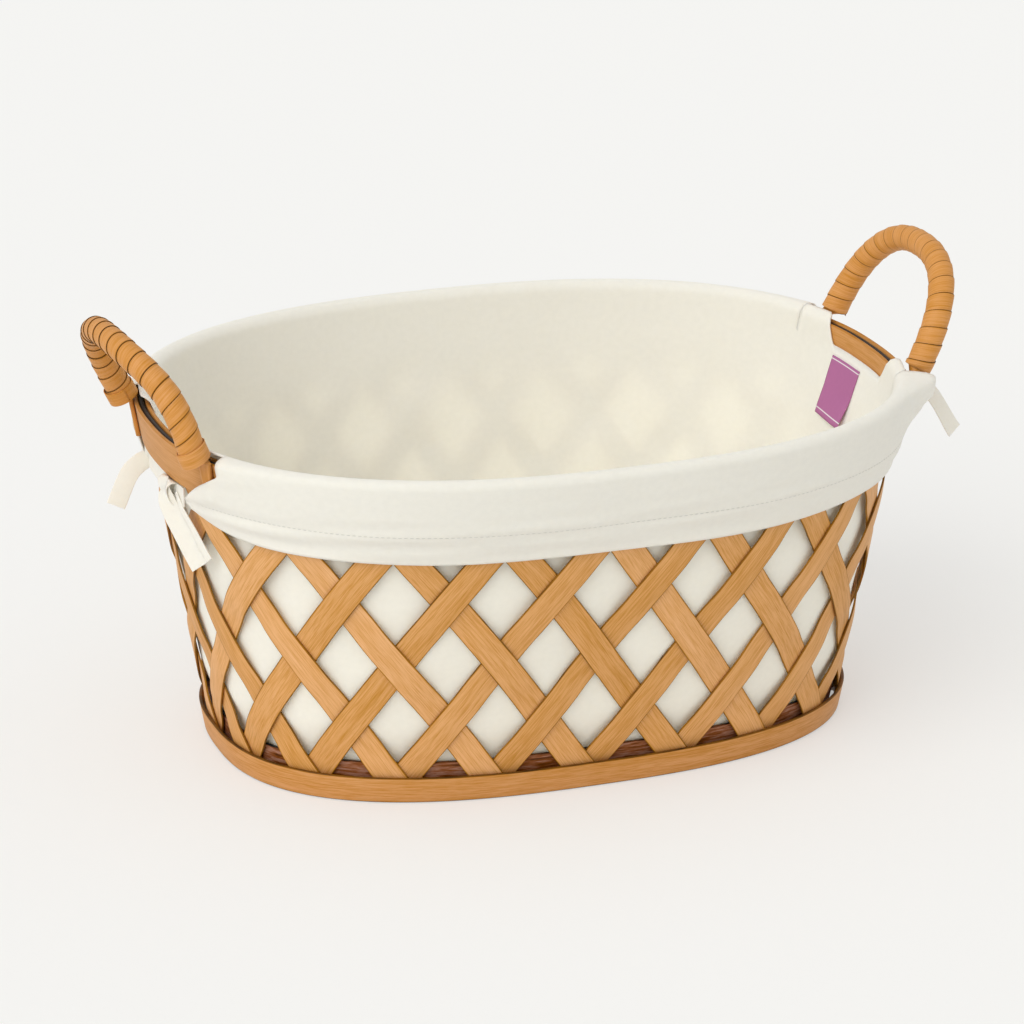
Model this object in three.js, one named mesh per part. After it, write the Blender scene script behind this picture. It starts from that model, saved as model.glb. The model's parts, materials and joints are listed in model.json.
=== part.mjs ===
// Laundry basket: diagonal splint strips woven between two pairs of oval bands, with two wrapped
// handles and a cloth liner that turns over the rim and ties under the handles.
// Millimetres, +Z up, +X along the basket. The origin is on the floor under its middle.

import * as THREE from 'three';

// Wall, measured on the middle of the weave. A power of 2 is an ellipse, a higher one is squarer.
const RIM_LENGTH = 474;
const RIM_WIDTH = 379;
const RIM_POWER = 2.39;
const BASE_LENGTH = 399;
const BASE_WIDTH = 264;
const BASE_POWER = 2.59;
const WALL_HEIGHT = 218;

// Woven strips: each one moves on by half a spacing from one row of crossings to the next
const STRIPS_EACH_WAY = 20;
const STRIP_WIDTH = 18.5;
const STRIP_THICKNESS = 1.2;
const FIRST_ROW_HEIGHT = 10.3;
const ROW_PITCH = 43.15;
const STRIP_END_INSET = 3;
const STRIP_PHASE = 0.86;
const CROSSING_RAMP = 0.25;

// Bands, hoop and board
const RIM_BAND_HEIGHT = 26;
const RIM_BAND_THICKNESS = 2.5;
const BASE_BAND_HEIGHT = 17.4;
const BASE_BAND_THICKNESS = 2.5;
const BASE_HOOP_HEIGHT = 26;
const BASE_HOOP_THICKNESS = 2.5;
const BOARD_THICKNESS = 4;
const BOARD_LIFT = 4;

// Handles
const HANDLE_SPAN = 131;
const HANDLE_OFF_CENTRE = { right: 0, left: 15 };
const HANDLE_RISE = 71;
const HANDLE_LEAN_DEGREES = 26.6;
const HANDLE_FOOT_OUT = 9.5;
const HANDLE_POWER = 2.4;
const CORE_DIAMETER = 13.6;
const TONGUE_WIDTH = 10;
const TONGUE_THICKNESS = 3;
const TONGUE_LENGTH = 24;
const TONGUE_ROUNDING = 0.5;
const WRAP_THICKNESS = 1.3;
const WRAP_LAP = 0.5;
const WRAP_TURNS = 20;
const WRAP_TURN_GAP = 0.8;
const WRAP_FOOT = 5;

// Liner
const CLOTH_THICKNESS = 1.5;
const CUFF_DROP = 49;
const CUFF_TIE_HALF_GAP = 43;
const CUFF_HEM_HALF_GAP = 49;
const LINER_END_DROP = 11;
const LINER_TUCK = 26;
const LABEL_WIDTH = 40;
const LABEL_HEIGHT = 37;
const LABEL_THICKNESS = 0.8;
const LABEL_OFF_CENTRE = 13;
const LABEL_DROP = 3;

// Ties
const TAPE_WIDTH = 12;
const TAPE_THICKNESS = 1.2;
const KNOT_LENGTH = 20;
const KNOT_HEIGHT = 15;
const KNOT_DEPTH = 9;
const KNOT_OFF_CENTRE = 30;
const TAPE_ROUNDING = 0.3;
const KNOT_ROUNDING = 0.8;
const HANGING_TAIL_DROP = 41.4;
const HANGING_TAIL_SHIFT = 18.4;
const HANGING_TAIL_FLARE = 2.7;
const OUTER_TAIL_START = 8.5;
const OUTER_TAILS = {
  right: { reach: 46, lift: 56, droop: 72 },
  left: { reach: 30, lift: 0, droop: 18 },
};

// Clearances
const WEAVE_GAP = 0.5;
const BAND_CLEARANCE = 0.6;
const SEAT_GAP = 0.3;
const CLOTH_CLEARANCE = 0.4;
const CUFF_LEG_GAP = 2;
const KNOT_TAIL_GAP = 2.7;
const WRAP_CLEARANCE = 0.4;

// Facets
const OVAL_SAMPLES = 1440;
const HOOP_STEPS = 72;
const EDGE_STEPS = 4;
const FOLD_STEPS = 5;
const TIE_STEPS = 11;
const TAIL_STEPS = 8;
const ROD_SIDES = 10;
const ROD_STEPS = 22;
const TURN_STEPS = 10;
const KNOT_SIDES = 8;
const HALVINGS = 40;

// Places that follow from the sizes above, as distances out from the middle of the weave
const WEAVE_OFFSET = (STRIP_THICKNESS + WEAVE_GAP) / 2;
const WEAVE_FACE = WEAVE_OFFSET + STRIP_THICKNESS / 2;
const BAND_SEAT = WEAVE_FACE + BAND_CLEARANCE;
const RIM_FACE = BAND_SEAT + RIM_BAND_THICKNESS;
const HOOP_FACE = BAND_SEAT + BASE_HOOP_THICKNESS;
const RIM_BAND_BOTTOM = WALL_HEIGHT - RIM_BAND_HEIGHT;
const BOARD_TOP = BOARD_LIFT + BOARD_THICKNESS;
const LINER_TOP = WALL_HEIGHT - LINER_END_DROP;
const TAPE_MIDDLE = RIM_BAND_BOTTOM - SEAT_GAP - Math.max(TAPE_WIDTH, KNOT_HEIGHT) / 2;
const HEM_HEIGHT = WALL_HEIGHT - CUFF_DROP;
const HEM_SEAT = BAND_SEAT;
const CORE_RADIUS = CORE_DIAMETER / 2;
const WRAP_BORE = CORE_RADIUS + WRAP_CLEARANCE;
const WRAP_RADIUS = WRAP_BORE + WRAP_THICKNESS + WRAP_LAP;

const { lerp, clamp, degToRad } = THREE.MathUtils;
const UP = new THREE.Vector3(0, 0, 1);

// Oval wall

// Half length, half width and power of the oval at a height
function ovalAt(height) {
  const share = height / WALL_HEIGHT;
  return {
    length: lerp(BASE_LENGTH, RIM_LENGTH, share) / 2,
    width: lerp(BASE_WIDTH, RIM_WIDTH, share) / 2,
    power: lerp(BASE_POWER, RIM_POWER, share),
  };
}

function signedPower(value, power) {
  return Math.sign(value) * Math.abs(value) ** power;
}

// Point and outward direction of the oval at one height, for an angle of its superellipse
function ovalFrame(angle, height) {
  const oval = ovalAt(height);
  const c = Math.cos(angle);
  const s = Math.sin(angle);
  const power = 2 / oval.power;
  const point = new THREE.Vector3(
    oval.length * signedPower(c, power),
    oval.width * signedPower(s, power),
    height,
  );
  const outward = new THREE.Vector3(
    signedPower(c, 2 - power) / oval.length,
    signedPower(s, 2 - power) / oval.width,
    0,
  );
  return { point, outward: outward.normalize() };
}

// Running lengths round the oval at half height, so that strips can be spaced evenly
function measureOval() {
  const lengths = [0];
  let last = ovalFrame(0, WALL_HEIGHT / 2).point;
  for (let i = 1; i <= OVAL_SAMPLES; i++) {
    const next = ovalFrame((2 * Math.PI * i) / OVAL_SAMPLES, WALL_HEIGHT / 2).point;
    lengths.push(lengths[i - 1] + next.distanceTo(last));
    last = next;
  }
  return lengths;
}

const ovalLengths = measureOval();
const OVAL_PERIMETER = ovalLengths[OVAL_SAMPLES];

function turnToAngle(turn) {
  const wanted = (turn - Math.floor(turn)) * OVAL_PERIMETER;
  let low = 0;
  let high = OVAL_SAMPLES;
  while (high - low > 1) {
    const middle = (low + high) >> 1;
    if (ovalLengths[middle] <= wanted) low = middle;
    else high = middle;
  }
  const share = (wanted - ovalLengths[low]) / (ovalLengths[high] - ovalLengths[low]);
  return (2 * Math.PI * (low + share)) / OVAL_SAMPLES;
}

function wallFrame(turn, height) {
  return ovalFrame(turnToAngle(turn), height);
}

// A place on the wall: turns round from +X towards +Y, height, and distance out from the weave
function wallPoint(turn, height, out) {
  const { point, outward } = wallFrame(turn, height);
  return point.addScaledVector(outward, out);
}

// The turn at which the +X end of the wall has a given Y at a given height
function endTurn(y, height) {
  let low = -0.25;
  let high = 0.25;
  for (let i = 0; i < HALVINGS; i++) {
    const middle = (low + high) / 2;
    if (wallPoint(middle, height, 0).y < y) low = middle;
    else high = middle;
  }
  return (low + high) / 2;
}

// Solids from rings of points

// Triangles that close a flat ring, in the ring's own order
function capTriangles(ring) {
  const normal = new THREE.Vector3();
  ring.forEach((point, i) => {
    normal.add(point.clone().cross(ring[(i + 1) % ring.length]));
  });
  normal.normalize();
  const across = ring[1].clone().sub(ring[0]);
  across.addScaledVector(normal, -across.dot(normal)).normalize();
  const along = normal.clone().cross(across);
  const flat = ring.map((point) => new THREE.Vector2(point.dot(across), point.dot(along)));
  return THREE.ShapeUtils.triangulateShape(flat, []).map(([a, b, c]) => {
    const area = flat[b].clone().sub(flat[a]).cross(flat[c].clone().sub(flat[a]));
    return area > 0 ? [a, b, c] : [a, c, b];
  });
}

function enclosedVolume(points, triangles) {
  let volume = 0;
  for (const [a, b, c] of triangles) {
    volume += points[a].dot(points[b].clone().cross(points[c])) / 6;
  }
  return volume;
}

// A closed skin over rings that all have the same number of points
function loft(rings, endless = false) {
  const points = rings.flat();
  const count = rings[0].length;
  const spans = endless ? rings.length : rings.length - 1;
  const triangles = [];
  for (let i = 0; i < spans; i++) {
    const here = i * count;
    const there = ((i + 1) % rings.length) * count;
    for (let j = 0; j < count; j++) {
      const next = (j + 1) % count;
      triangles.push([here + j, here + next, there + next]);
      triangles.push([here + j, there + next, there + j]);
    }
  }
  if (!endless) {
    const end = points.length - count;
    capTriangles(rings[0]).forEach(([a, b, c]) => triangles.push([a, c, b]));
    capTriangles(rings.at(-1)).forEach(([a, b, c]) => triangles.push([end + a, end + b, end + c]));
  }
  const inward = enclosedVolume(points, triangles) < 0;
  const index = triangles.flatMap(([a, b, c]) => (inward ? [a, c, b] : [a, b, c]));
  const geometry = new THREE.BufferGeometry();
  geometry.setAttribute('position', new THREE.BufferAttribute(
    new Float32Array(points.flatMap((point) => point.toArray())), 3));
  geometry.setIndex(index);
  return geometry;
}

// A profile of [height, out] points carried all the way round the wall
function hoop(profile) {
  const rings = [];
  for (let i = 0; i < HOOP_STEPS; i++) {
    rings.push(profile.map(([height, out]) => wallPoint(i / HOOP_STEPS, height, out)));
  }
  return loft(rings, true);
}

// A profile carried part of the way round, between two turns that may depend on the place on it.
// Between its ends it bends at the same turns as the hoops, so that it stays clear of them, and at
// each end a few rings turn its slanting edge square.
function wallArc(profile, startTurn, stopTurn) {
  const starts = profile.map(([height, out]) => startTurn(height, out));
  const stops = profile.map(([height, out]) => stopTurn(height, out));
  const first = Math.floor(Math.max(...starts) * HOOP_STEPS) + 1;
  const last = Math.ceil(Math.min(...stops) * HOOP_STEPS) - 1;
  const ring = (turns) => profile.map(([height, out], i) => wallPoint(turns[i], height, out));
  const slanted = (edge, square, share) => ring(edge.map((turn) => lerp(turn, square, share)));
  const rings = [];
  for (let i = 0; i < EDGE_STEPS; i++) {
    rings.push(slanted(starts, first / HOOP_STEPS, i / EDGE_STEPS));
  }
  for (let i = first; i <= last; i++) rings.push(ring(starts.map(() => i / HOOP_STEPS)));
  for (let i = EDGE_STEPS - 1; i >= 0; i--) {
    rings.push(slanted(stops, last / HOOP_STEPS, i / EDGE_STEPS));
  }
  return loft(rings);
}

function bandProfile(bottom, top, inner, outer) {
  return [[bottom, inner], [bottom, outer], [top, outer], [top, inner]];
}

// A flat plate whose edge follows the wall
function wallPlate(bottom, top, out) {
  const outline = (height) => {
    const ring = [];
    for (let i = 0; i < HOOP_STEPS; i++) ring.push(wallPoint(i / HOOP_STEPS, height, out));
    return ring;
  };
  return loft([outline(bottom), outline(top)]);
}

// Woven strips

// How far a strip lies out at a height: full at each crossing, level halfway between two rows
function weaveOut(height, way) {
  const rows = (height - FIRST_ROW_HEIGHT) / ROW_PITCH;
  const row = Math.round(rows);
  const share = clamp((0.5 - Math.abs(rows - row)) / CROSSING_RAMP, 0, 1);
  const over = row % 2 === 0 ? -1 : 1;
  return way * over * share * WEAVE_OFFSET;
}

function stripTurn(number, way, height) {
  const rows = (height - FIRST_ROW_HEIGHT) / ROW_PITCH;
  return (number + STRIP_PHASE + (way * rows) / 2) / STRIPS_EACH_WAY;
}

// Slope of a strip and length round the wall at a height
function stripRun(height) {
  const perimeter = OVAL_PERIMETER * (ovalAt(height).length / ovalAt(WALL_HEIGHT / 2).length);
  return { perimeter, slope: Math.atan2(ROW_PITCH, perimeter / STRIPS_EACH_WAY / 2) };
}

// The strip's section at a height, square to its run
function stripRing(number, way, height) {
  const turn = stripTurn(number, way, height);
  const { perimeter, slope } = stripRun(height);
  const aside = ((STRIP_WIDTH / 2) * Math.sin(slope)) / perimeter;
  const drop = (STRIP_WIDTH / 2) * Math.cos(slope) * way;
  const out = weaveOut(height, way);
  const inner = out - STRIP_THICKNESS / 2;
  const outer = out + STRIP_THICKNESS / 2;
  return [
    wallPoint(turn - aside, height + drop, inner),
    wallPoint(turn + aside, height - drop, inner),
    wallPoint(turn + aside, height - drop, outer),
    wallPoint(turn - aside, height + drop, outer),
  ];
}

function wovenStrip(number, way) {
  const cornerDrop = (STRIP_WIDTH / 2) * Math.cos(stripRun(0).slope);
  const bottom = STRIP_END_INSET + cornerDrop;
  const top = WALL_HEIGHT - STRIP_END_INSET - cornerDrop;
  const step = ROW_PITCH * CROSSING_RAMP;
  const rings = [stripRing(number, way, bottom)];
  for (let i = 1; FIRST_ROW_HEIGHT + i * step < top; i++) {
    const height = FIRST_ROW_HEIGHT + i * step;
    if (height > bottom) rings.push(stripRing(number, way, height));
  }
  rings.push(stripRing(number, way, top));
  return loft(rings);
}

// Handles, made at the +X end

const lean = degToRad(HANDLE_LEAN_DEGREES);

// The line of a handle, and the turns of its two legs, for a middle that lies off the end's middle
function handleArch(offCentre) {
  const legTurns = [-1, 1].map((side) => endTurn(offCentre + (side * HANDLE_SPAN) / 2, WALL_HEIGHT));
  const [first, last] = legTurns.map((turn) => wallPoint(turn, WALL_HEIGHT, 0));
  const across = last.clone().sub(first).normalize();
  const level = across.clone().cross(UP);
  const middle = first.clone().lerp(last, 0.5).addScaledVector(level, HANDLE_FOOT_OUT);
  const riseWay = level.clone().multiplyScalar(Math.sin(lean)).addScaledVector(UP, Math.cos(lean));
  const out = level.clone().multiplyScalar(Math.cos(lean)).addScaledVector(UP, -Math.sin(lean));
  const halfSpan = first.distanceTo(last) / 2;
  const points = [];
  const count = ROD_STEPS * 2;
  for (let i = 0; i <= count; i++) {
    const angle = (Math.PI * i) / count;
    const aside = -halfSpan * signedPower(Math.cos(angle), 2 / HANDLE_POWER);
    const rise = HANDLE_RISE * signedPower(Math.sin(angle), 2 / HANDLE_POWER);
    points.push(middle.clone().addScaledVector(across, aside).addScaledVector(riseWay, rise));
  }
  const path = new THREE.CatmullRomCurve3(points);
  return { legTurns, path, out, length: path.getLength() };
}

// Centre, and the two directions across the rod, at a length along the handle
function handleFrame(arch, length) {
  const share = clamp(length / arch.length, 0, 1);
  const tangent = arch.path.getTangentAt(share);
  return {
    centre: arch.path.getPointAt(share),
    away: arch.out.clone().cross(tangent).normalize(),
    out: arch.out,
  };
}

function rodRing(arch, length) {
  const { centre, away, out } = handleFrame(arch, length);
  const ring = [];
  for (let i = 0; i < ROD_SIDES; i++) {
    const angle = (2 * Math.PI * i) / ROD_SIDES;
    const point = centre.clone().addScaledVector(away, CORE_RADIUS * Math.cos(angle));
    ring.push(point.addScaledVector(out, CORE_RADIUS * Math.sin(angle)));
  }
  return ring;
}

// The flattened end of the rod, seated on the outer rim band
function tongueRing(arch, leg, height) {
  const { point, outward } = wallFrame(arch.legTurns[leg], height);
  const along = UP.clone().cross(outward);
  const { away } = handleFrame(arch, leg * arch.length);
  if (along.dot(away) < 0) along.negate();
  const centre = point.addScaledVector(outward, RIM_FACE + SEAT_GAP + TONGUE_THICKNESS / 2);
  const ring = [];
  for (let i = 0; i < ROD_SIDES; i++) {
    const angle = (2 * Math.PI * i) / ROD_SIDES;
    const wide = (TONGUE_WIDTH / 2) * signedPower(Math.cos(angle), TONGUE_ROUNDING);
    const thick = (TONGUE_THICKNESS / 2) * signedPower(Math.sin(angle), TONGUE_ROUNDING);
    ring.push(centre.clone().addScaledVector(along, wide).addScaledVector(outward, thick));
  }
  return ring;
}

function handleCore(arch) {
  const tongueBottom = WALL_HEIGHT - TONGUE_LENGTH;
  const tongueTop = WALL_HEIGHT + TONGUE_THICKNESS / 2;
  const rings = [tongueRing(arch, 0, tongueBottom), tongueRing(arch, 0, tongueTop)];
  for (let i = 0; i <= ROD_STEPS; i++) {
    rings.push(rodRing(arch, lerp(WRAP_FOOT, arch.length - WRAP_FOOT, i / ROD_STEPS)));
  }
  rings.push(tongueRing(arch, 1, tongueTop), tongueRing(arch, 1, tongueBottom));
  return loft(rings);
}

// One splint ribbon wound from foot to foot, each turn's far edge standing over the next turn
function handleWrap(arch) {
  const pitch = (arch.length - 2 * WRAP_FOOT) / (WRAP_TURNS + 1);
  const halfWide = (pitch - WRAP_TURN_GAP) / 2;
  const place = (length, angle, radius) => {
    const { centre, away, out } = handleFrame(arch, length);
    centre.addScaledVector(away, radius * Math.cos(angle));
    return centre.addScaledVector(out, radius * Math.sin(angle));
  };
  const rings = [];
  for (let i = 0; i <= WRAP_TURNS * TURN_STEPS; i++) {
    const angle = (2 * Math.PI * i) / TURN_STEPS;
    const middle = WRAP_FOOT + pitch * (0.5 + i / TURN_STEPS);
    rings.push([
      place(middle - halfWide, angle, WRAP_BORE),
      place(middle + halfWide, angle, WRAP_BORE),
      place(middle + halfWide, angle, WRAP_RADIUS),
      place(middle - halfWide, angle, WRAP_RADIUS - WRAP_LAP),
    ]);
  }
  return rings;
}

function leastTurnGap(rings) {
  let least = Infinity;
  for (let i = TURN_STEPS; i < rings.length; i++) {
    const [, before, beforeTop] = rings[i - TURN_STEPS];
    const [after, , , afterTop] = rings[i];
    least = Math.min(least, before.distanceTo(after), beforeTop.distanceTo(afterTop));
  }
  return least;
}

// Liner

// Outer face of the liner wall: tucked inside the hoop and the rim band, against the weave between
function linerOut(height) {
  const tucked = -HOOP_FACE - CLOTH_CLEARANCE;
  const underRim = -RIM_FACE - CLOTH_CLEARANCE;
  const free = -BAND_SEAT;
  const low = (height - BASE_HOOP_HEIGHT) / LINER_TUCK;
  const high = (RIM_BAND_BOTTOM - CLOTH_CLEARANCE - height) / LINER_TUCK;
  if (low < 1) return lerp(tucked, free, clamp(low, 0, 1));
  return lerp(underRim, free, clamp(high, 0, 1));
}

const linerBends = [
  BASE_HOOP_HEIGHT,
  BASE_HOOP_HEIGHT + LINER_TUCK,
  RIM_BAND_BOTTOM - CLOTH_CLEARANCE - LINER_TUCK,
  RIM_BAND_BOTTOM - CLOTH_CLEARANCE,
];

function linerWall() {
  const heights = [BOARD_TOP + SEAT_GAP, ...linerBends, LINER_TOP];
  const outer = heights.map((height) => [height, linerOut(height)]);
  const inner = heights.map((height) => [height, linerOut(height) - CLOTH_THICKNESS]);
  return hoop([...outer, ...inner.reverse()]);
}

function linerBottom() {
  const bottom = BOARD_TOP + SEAT_GAP;
  const edge = linerOut(bottom) - CLOTH_THICKNESS - SEAT_GAP;
  return wallPlate(bottom, bottom + CLOTH_THICKNESS, edge);
}

// Half the gap that a cuff leaves at the end of the basket: wide at the handle's leg, which may lie
// off centre, and drawn in at the tie below the rim
function cuffGap(height, out, offCentre) {
  const full = HANDLE_SPAN / 2 + offCentre + WRAP_RADIUS + CUFF_LEG_GAP;
  if (out < 0 || height > RIM_BAND_BOTTOM) return full;
  if (height > TAPE_MIDDLE) {
    const share = (RIM_BAND_BOTTOM - height) / (RIM_BAND_BOTTOM - TAPE_MIDDLE);
    return lerp(full, CUFF_TIE_HALF_GAP, share);
  }
  const share = (TAPE_MIDDLE - height) / (TAPE_MIDDLE - HEM_HEIGHT);
  return lerp(CUFF_TIE_HALF_GAP, CUFF_HEM_HALF_GAP, share);
}

// Section of a cuff: up inside the rim, over it in a round fold, and down outside to the hem
function cuffProfile() {
  const near = RIM_FACE + CLOTH_CLEARANCE;
  const far = near + CLOTH_THICKNESS;
  const insideBottom = LINER_TOP + SEAT_GAP;
  const fold = (radius, i) => {
    const angle = Math.PI * (1 - i / FOLD_STEPS);
    return [WALL_HEIGHT + radius * Math.sin(angle), radius * Math.cos(angle)];
  };
  const profile = [[insideBottom, -near], [insideBottom, -far]];
  for (let i = 0; i <= FOLD_STEPS; i++) profile.push(fold(far, i));
  const share = (RIM_BAND_BOTTOM - TAPE_MIDDLE) / (RIM_BAND_BOTTOM - HEM_HEIGHT);
  const tie = lerp(near, HEM_SEAT, share);
  profile.push([RIM_BAND_BOTTOM, far], [TAPE_MIDDLE, tie + CLOTH_THICKNESS]);
  profile.push([HEM_HEIGHT, HEM_SEAT + CLOTH_THICKNESS], [HEM_HEIGHT, HEM_SEAT]);
  profile.push([TAPE_MIDDLE, tie], [RIM_BAND_BOTTOM - CLOTH_CLEARANCE, near]);
  for (let i = FOLD_STEPS; i >= 0; i--) profile.push(fold(near, i));
  return profile;
}

// The back cuff runs from the +X end round to the -X end, clear of a handle at each
function backCuff(startOffCentre, stopOffCentre) {
  const start = (height, out) => endTurn(cuffGap(height, out, startOffCentre), height);
  const stop = (height, out) => 0.5 - endTurn(cuffGap(height, out, -stopOffCentre), height);
  return wallArc(cuffProfile(), start, stop);
}

// The label on the liner's inner face at the +X end, bent where the liner bends
function linerLabel() {
  const top = LINER_TOP - LABEL_DROP;
  const bottom = top - LABEL_HEIGHT;
  const face = (height) => linerOut(height) - CLOTH_THICKNESS - SEAT_GAP;
  const bends = linerBends.filter((height) => height > bottom && height < top);
  const heights = [bottom, ...bends, top];
  const near = heights.map((height) => [height, face(height)]);
  const far = heights.map((height) => [height, face(height) - LABEL_THICKNESS]);
  const edge = (side) => (height) => endTurn(LABEL_OFF_CENTRE + (side * LABEL_WIDTH) / 2, height);
  return wallArc([...near, ...far.reverse()], edge(-1), edge(1));
}

// Ties, made at the +X end

// One tape from cuff to cuff across the end, swelling to its knot
function tieBand() {
  const rings = [];
  const edge = CUFF_TIE_HALF_GAP - SEAT_GAP;
  const knotShare = (y) => {
    const near = Math.abs(y - KNOT_OFF_CENTRE) / (KNOT_LENGTH / 2);
    return near < 1 ? Math.sqrt(1 - near * near) : 0;
  };
  for (let i = 0; i <= TIE_STEPS * 2; i++) {
    const y = edge * (i / TIE_STEPS - 1);
    const swell = knotShare(y);
    const depth = lerp(TAPE_THICKNESS, KNOT_DEPTH, swell);
    const half = lerp(TAPE_WIDTH, KNOT_HEIGHT, swell) / 2;
    const power = lerp(TAPE_ROUNDING, KNOT_ROUNDING, swell);
    const ring = [];
    for (let j = 0; j < KNOT_SIDES; j++) {
      const angle = (2 * Math.PI * (j + 0.5)) / KNOT_SIDES;
      const height = TAPE_MIDDLE + half * signedPower(Math.cos(angle), power);
      const out = HEM_SEAT + (depth / 2) * (1 + signedPower(Math.sin(angle), power));
      ring.push(wallPoint(endTurn(y, height), height, out));
    }
    rings.push(ring);
  }
  return loft(rings);
}

// A loose tail of tape along a curve, with one broad side facing the given way
function tapeTail(points, facing) {
  const curve = new THREE.CatmullRomCurve3(points);
  const rings = [];
  for (let i = 0; i <= TAIL_STEPS; i++) {
    const centre = curve.getPointAt(i / TAIL_STEPS);
    const along = curve.getTangentAt(i / TAIL_STEPS);
    const across = along.clone().cross(facing).normalize();
    const through = across.clone().cross(along);
    const corner = (a, t) => centre.clone()
      .addScaledVector(across, (a * TAPE_WIDTH) / 2)
      .addScaledVector(through, (t * TAPE_THICKNESS) / 2);
    rings.push([corner(-1, -1), corner(1, -1), corner(1, 1), corner(-1, 1)]);
  }
  return loft(rings);
}

const knotBottom = TAPE_MIDDLE - KNOT_HEIGHT / 2;

// Tail that hangs down against the wall, leaning back from the knot
function hangingTail() {
  const facing = wallFrame(endTurn(KNOT_OFF_CENTRE, TAPE_MIDDLE), TAPE_MIDDLE).outward;
  const place = (share) => {
    const y = KNOT_OFF_CENTRE + HANGING_TAIL_SHIFT * share;
    const height = knotBottom - KNOT_TAIL_GAP - HANGING_TAIL_DROP * share;
    const out = HEM_SEAT + KNOT_DEPTH / 2 + HANGING_TAIL_FLARE * share;
    return wallPoint(endTurn(y, height), height, out);
  };
  return tapeTail([place(0), place(0.5), place(1)], facing);
}

// Tail that springs square out of the wall from the tape beside the other cuff, and droops
function outerTail({ reach, lift, droop }) {
  const facing = new THREE.Vector3(0, 1, 0);
  const start = OUTER_TAIL_START - CUFF_TIE_HALF_GAP;
  const seat = HEM_SEAT + TAPE_THICKNESS + 2 * SEAT_GAP;
  const slope = (RIM_LENGTH - BASE_LENGTH) / 2 / WALL_HEIGHT;
  const place = (share) => {
    const height = TAPE_MIDDLE - slope * reach * share + lift * share ** 2 - droop * share ** 3;
    const out = seat + reach * share;
    return wallPoint(endTurn(start, TAPE_MIDDLE), TAPE_MIDDLE, out).setZ(height);
  };
  return tapeTail([place(0), place(0.1), place(0.4), place(0.7), place(1)], facing);
}

// Materials

function material(color, roughness) {
  return new THREE.MeshStandardMaterial({ color, roughness, metalness: 0 });
}

const splint = material(0xc9965d, 0.6);
const band = material(0xd2a268, 0.55);
const darkHoop = material(0x7d4d2c, 0.65);
const board = material(0x9a6a40, 0.7);
const rod = material(0xb9834a, 0.6);
const wrapping = material(0xc78b4e, 0.55);
const cloth = material(0xf3eee3, 0.95);
const plum = material(0xb36f9b, 0.85);

// Assembly

const basket = new THREE.Group();

function addPiece(name, geometry, surface, halfTurn = false) {
  geometry.computeVertexNormals();
  const mesh = new THREE.Mesh(geometry, surface);
  mesh.name = name;
  mesh.rotation.z = halfTurn ? Math.PI : 0;
  basket.add(mesh);
}

addPiece('base_outer_band',
  hoop(bandProfile(0, BASE_BAND_HEIGHT, BAND_SEAT, BAND_SEAT + BASE_BAND_THICKNESS)), band);
addPiece('base_inner_hoop', hoop(bandProfile(0, BASE_HOOP_HEIGHT, -HOOP_FACE, -BAND_SEAT)), darkHoop);
addPiece('base_board', wallPlate(BOARD_LIFT, BOARD_TOP, -HOOP_FACE - SEAT_GAP), board);
addPiece('rim_outer_band',
  hoop(bandProfile(RIM_BAND_BOTTOM, WALL_HEIGHT, BAND_SEAT, RIM_FACE)), band);
addPiece('rim_inner_band',
  hoop(bandProfile(RIM_BAND_BOTTOM, WALL_HEIGHT, -RIM_FACE, -BAND_SEAT)), band);

for (let i = 0; i < STRIPS_EACH_WAY; i++) {
  const number = String(i + 1).padStart(2, '0');
  addPiece(`strip_right_${number}`, wovenStrip(i, 1), splint);
  addPiece(`strip_left_${number}`, wovenStrip(i, -1), splint);
}

addPiece('liner_wall', linerWall(), cloth);
addPiece('liner_bottom', linerBottom(), cloth);
addPiece('liner_cuff_back',
  backCuff(HANDLE_OFF_CENTRE.right, HANDLE_OFF_CENTRE.left), cloth);
addPiece('liner_cuff_front',
  backCuff(HANDLE_OFF_CENTRE.left, HANDLE_OFF_CENTRE.right), cloth, true);
addPiece('liner_label', linerLabel(), plum);

for (const [end, halfTurn] of [['right', false], ['left', true]]) {
  const arch = handleArch(HANDLE_OFF_CENTRE[end]);
  const wrapRings = handleWrap(arch);
  console.log(`least gap between turns, ${end} wrap: ${leastTurnGap(wrapRings).toFixed(2)} mm`);
  addPiece(`handle_core_${end}`, handleCore(arch), rod, halfTurn);
  addPiece(`handle_wrap_${end}`, loft(wrapRings), wrapping, halfTurn);
  addPiece(`tie_band_${end}`, tieBand(), cloth, halfTurn);
  addPiece(`tie_tail_hanging_${end}`, hangingTail(), cloth, halfTurn);
  addPiece(`tie_tail_outer_${end}`, outerTail(OUTER_TAILS[end]), cloth, halfTurn);
}

export default basket;
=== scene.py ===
"""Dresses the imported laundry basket: woven splints, bands, wrapped handles and a tied cloth liner."""

import json
import math
from collections import namedtuple

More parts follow.
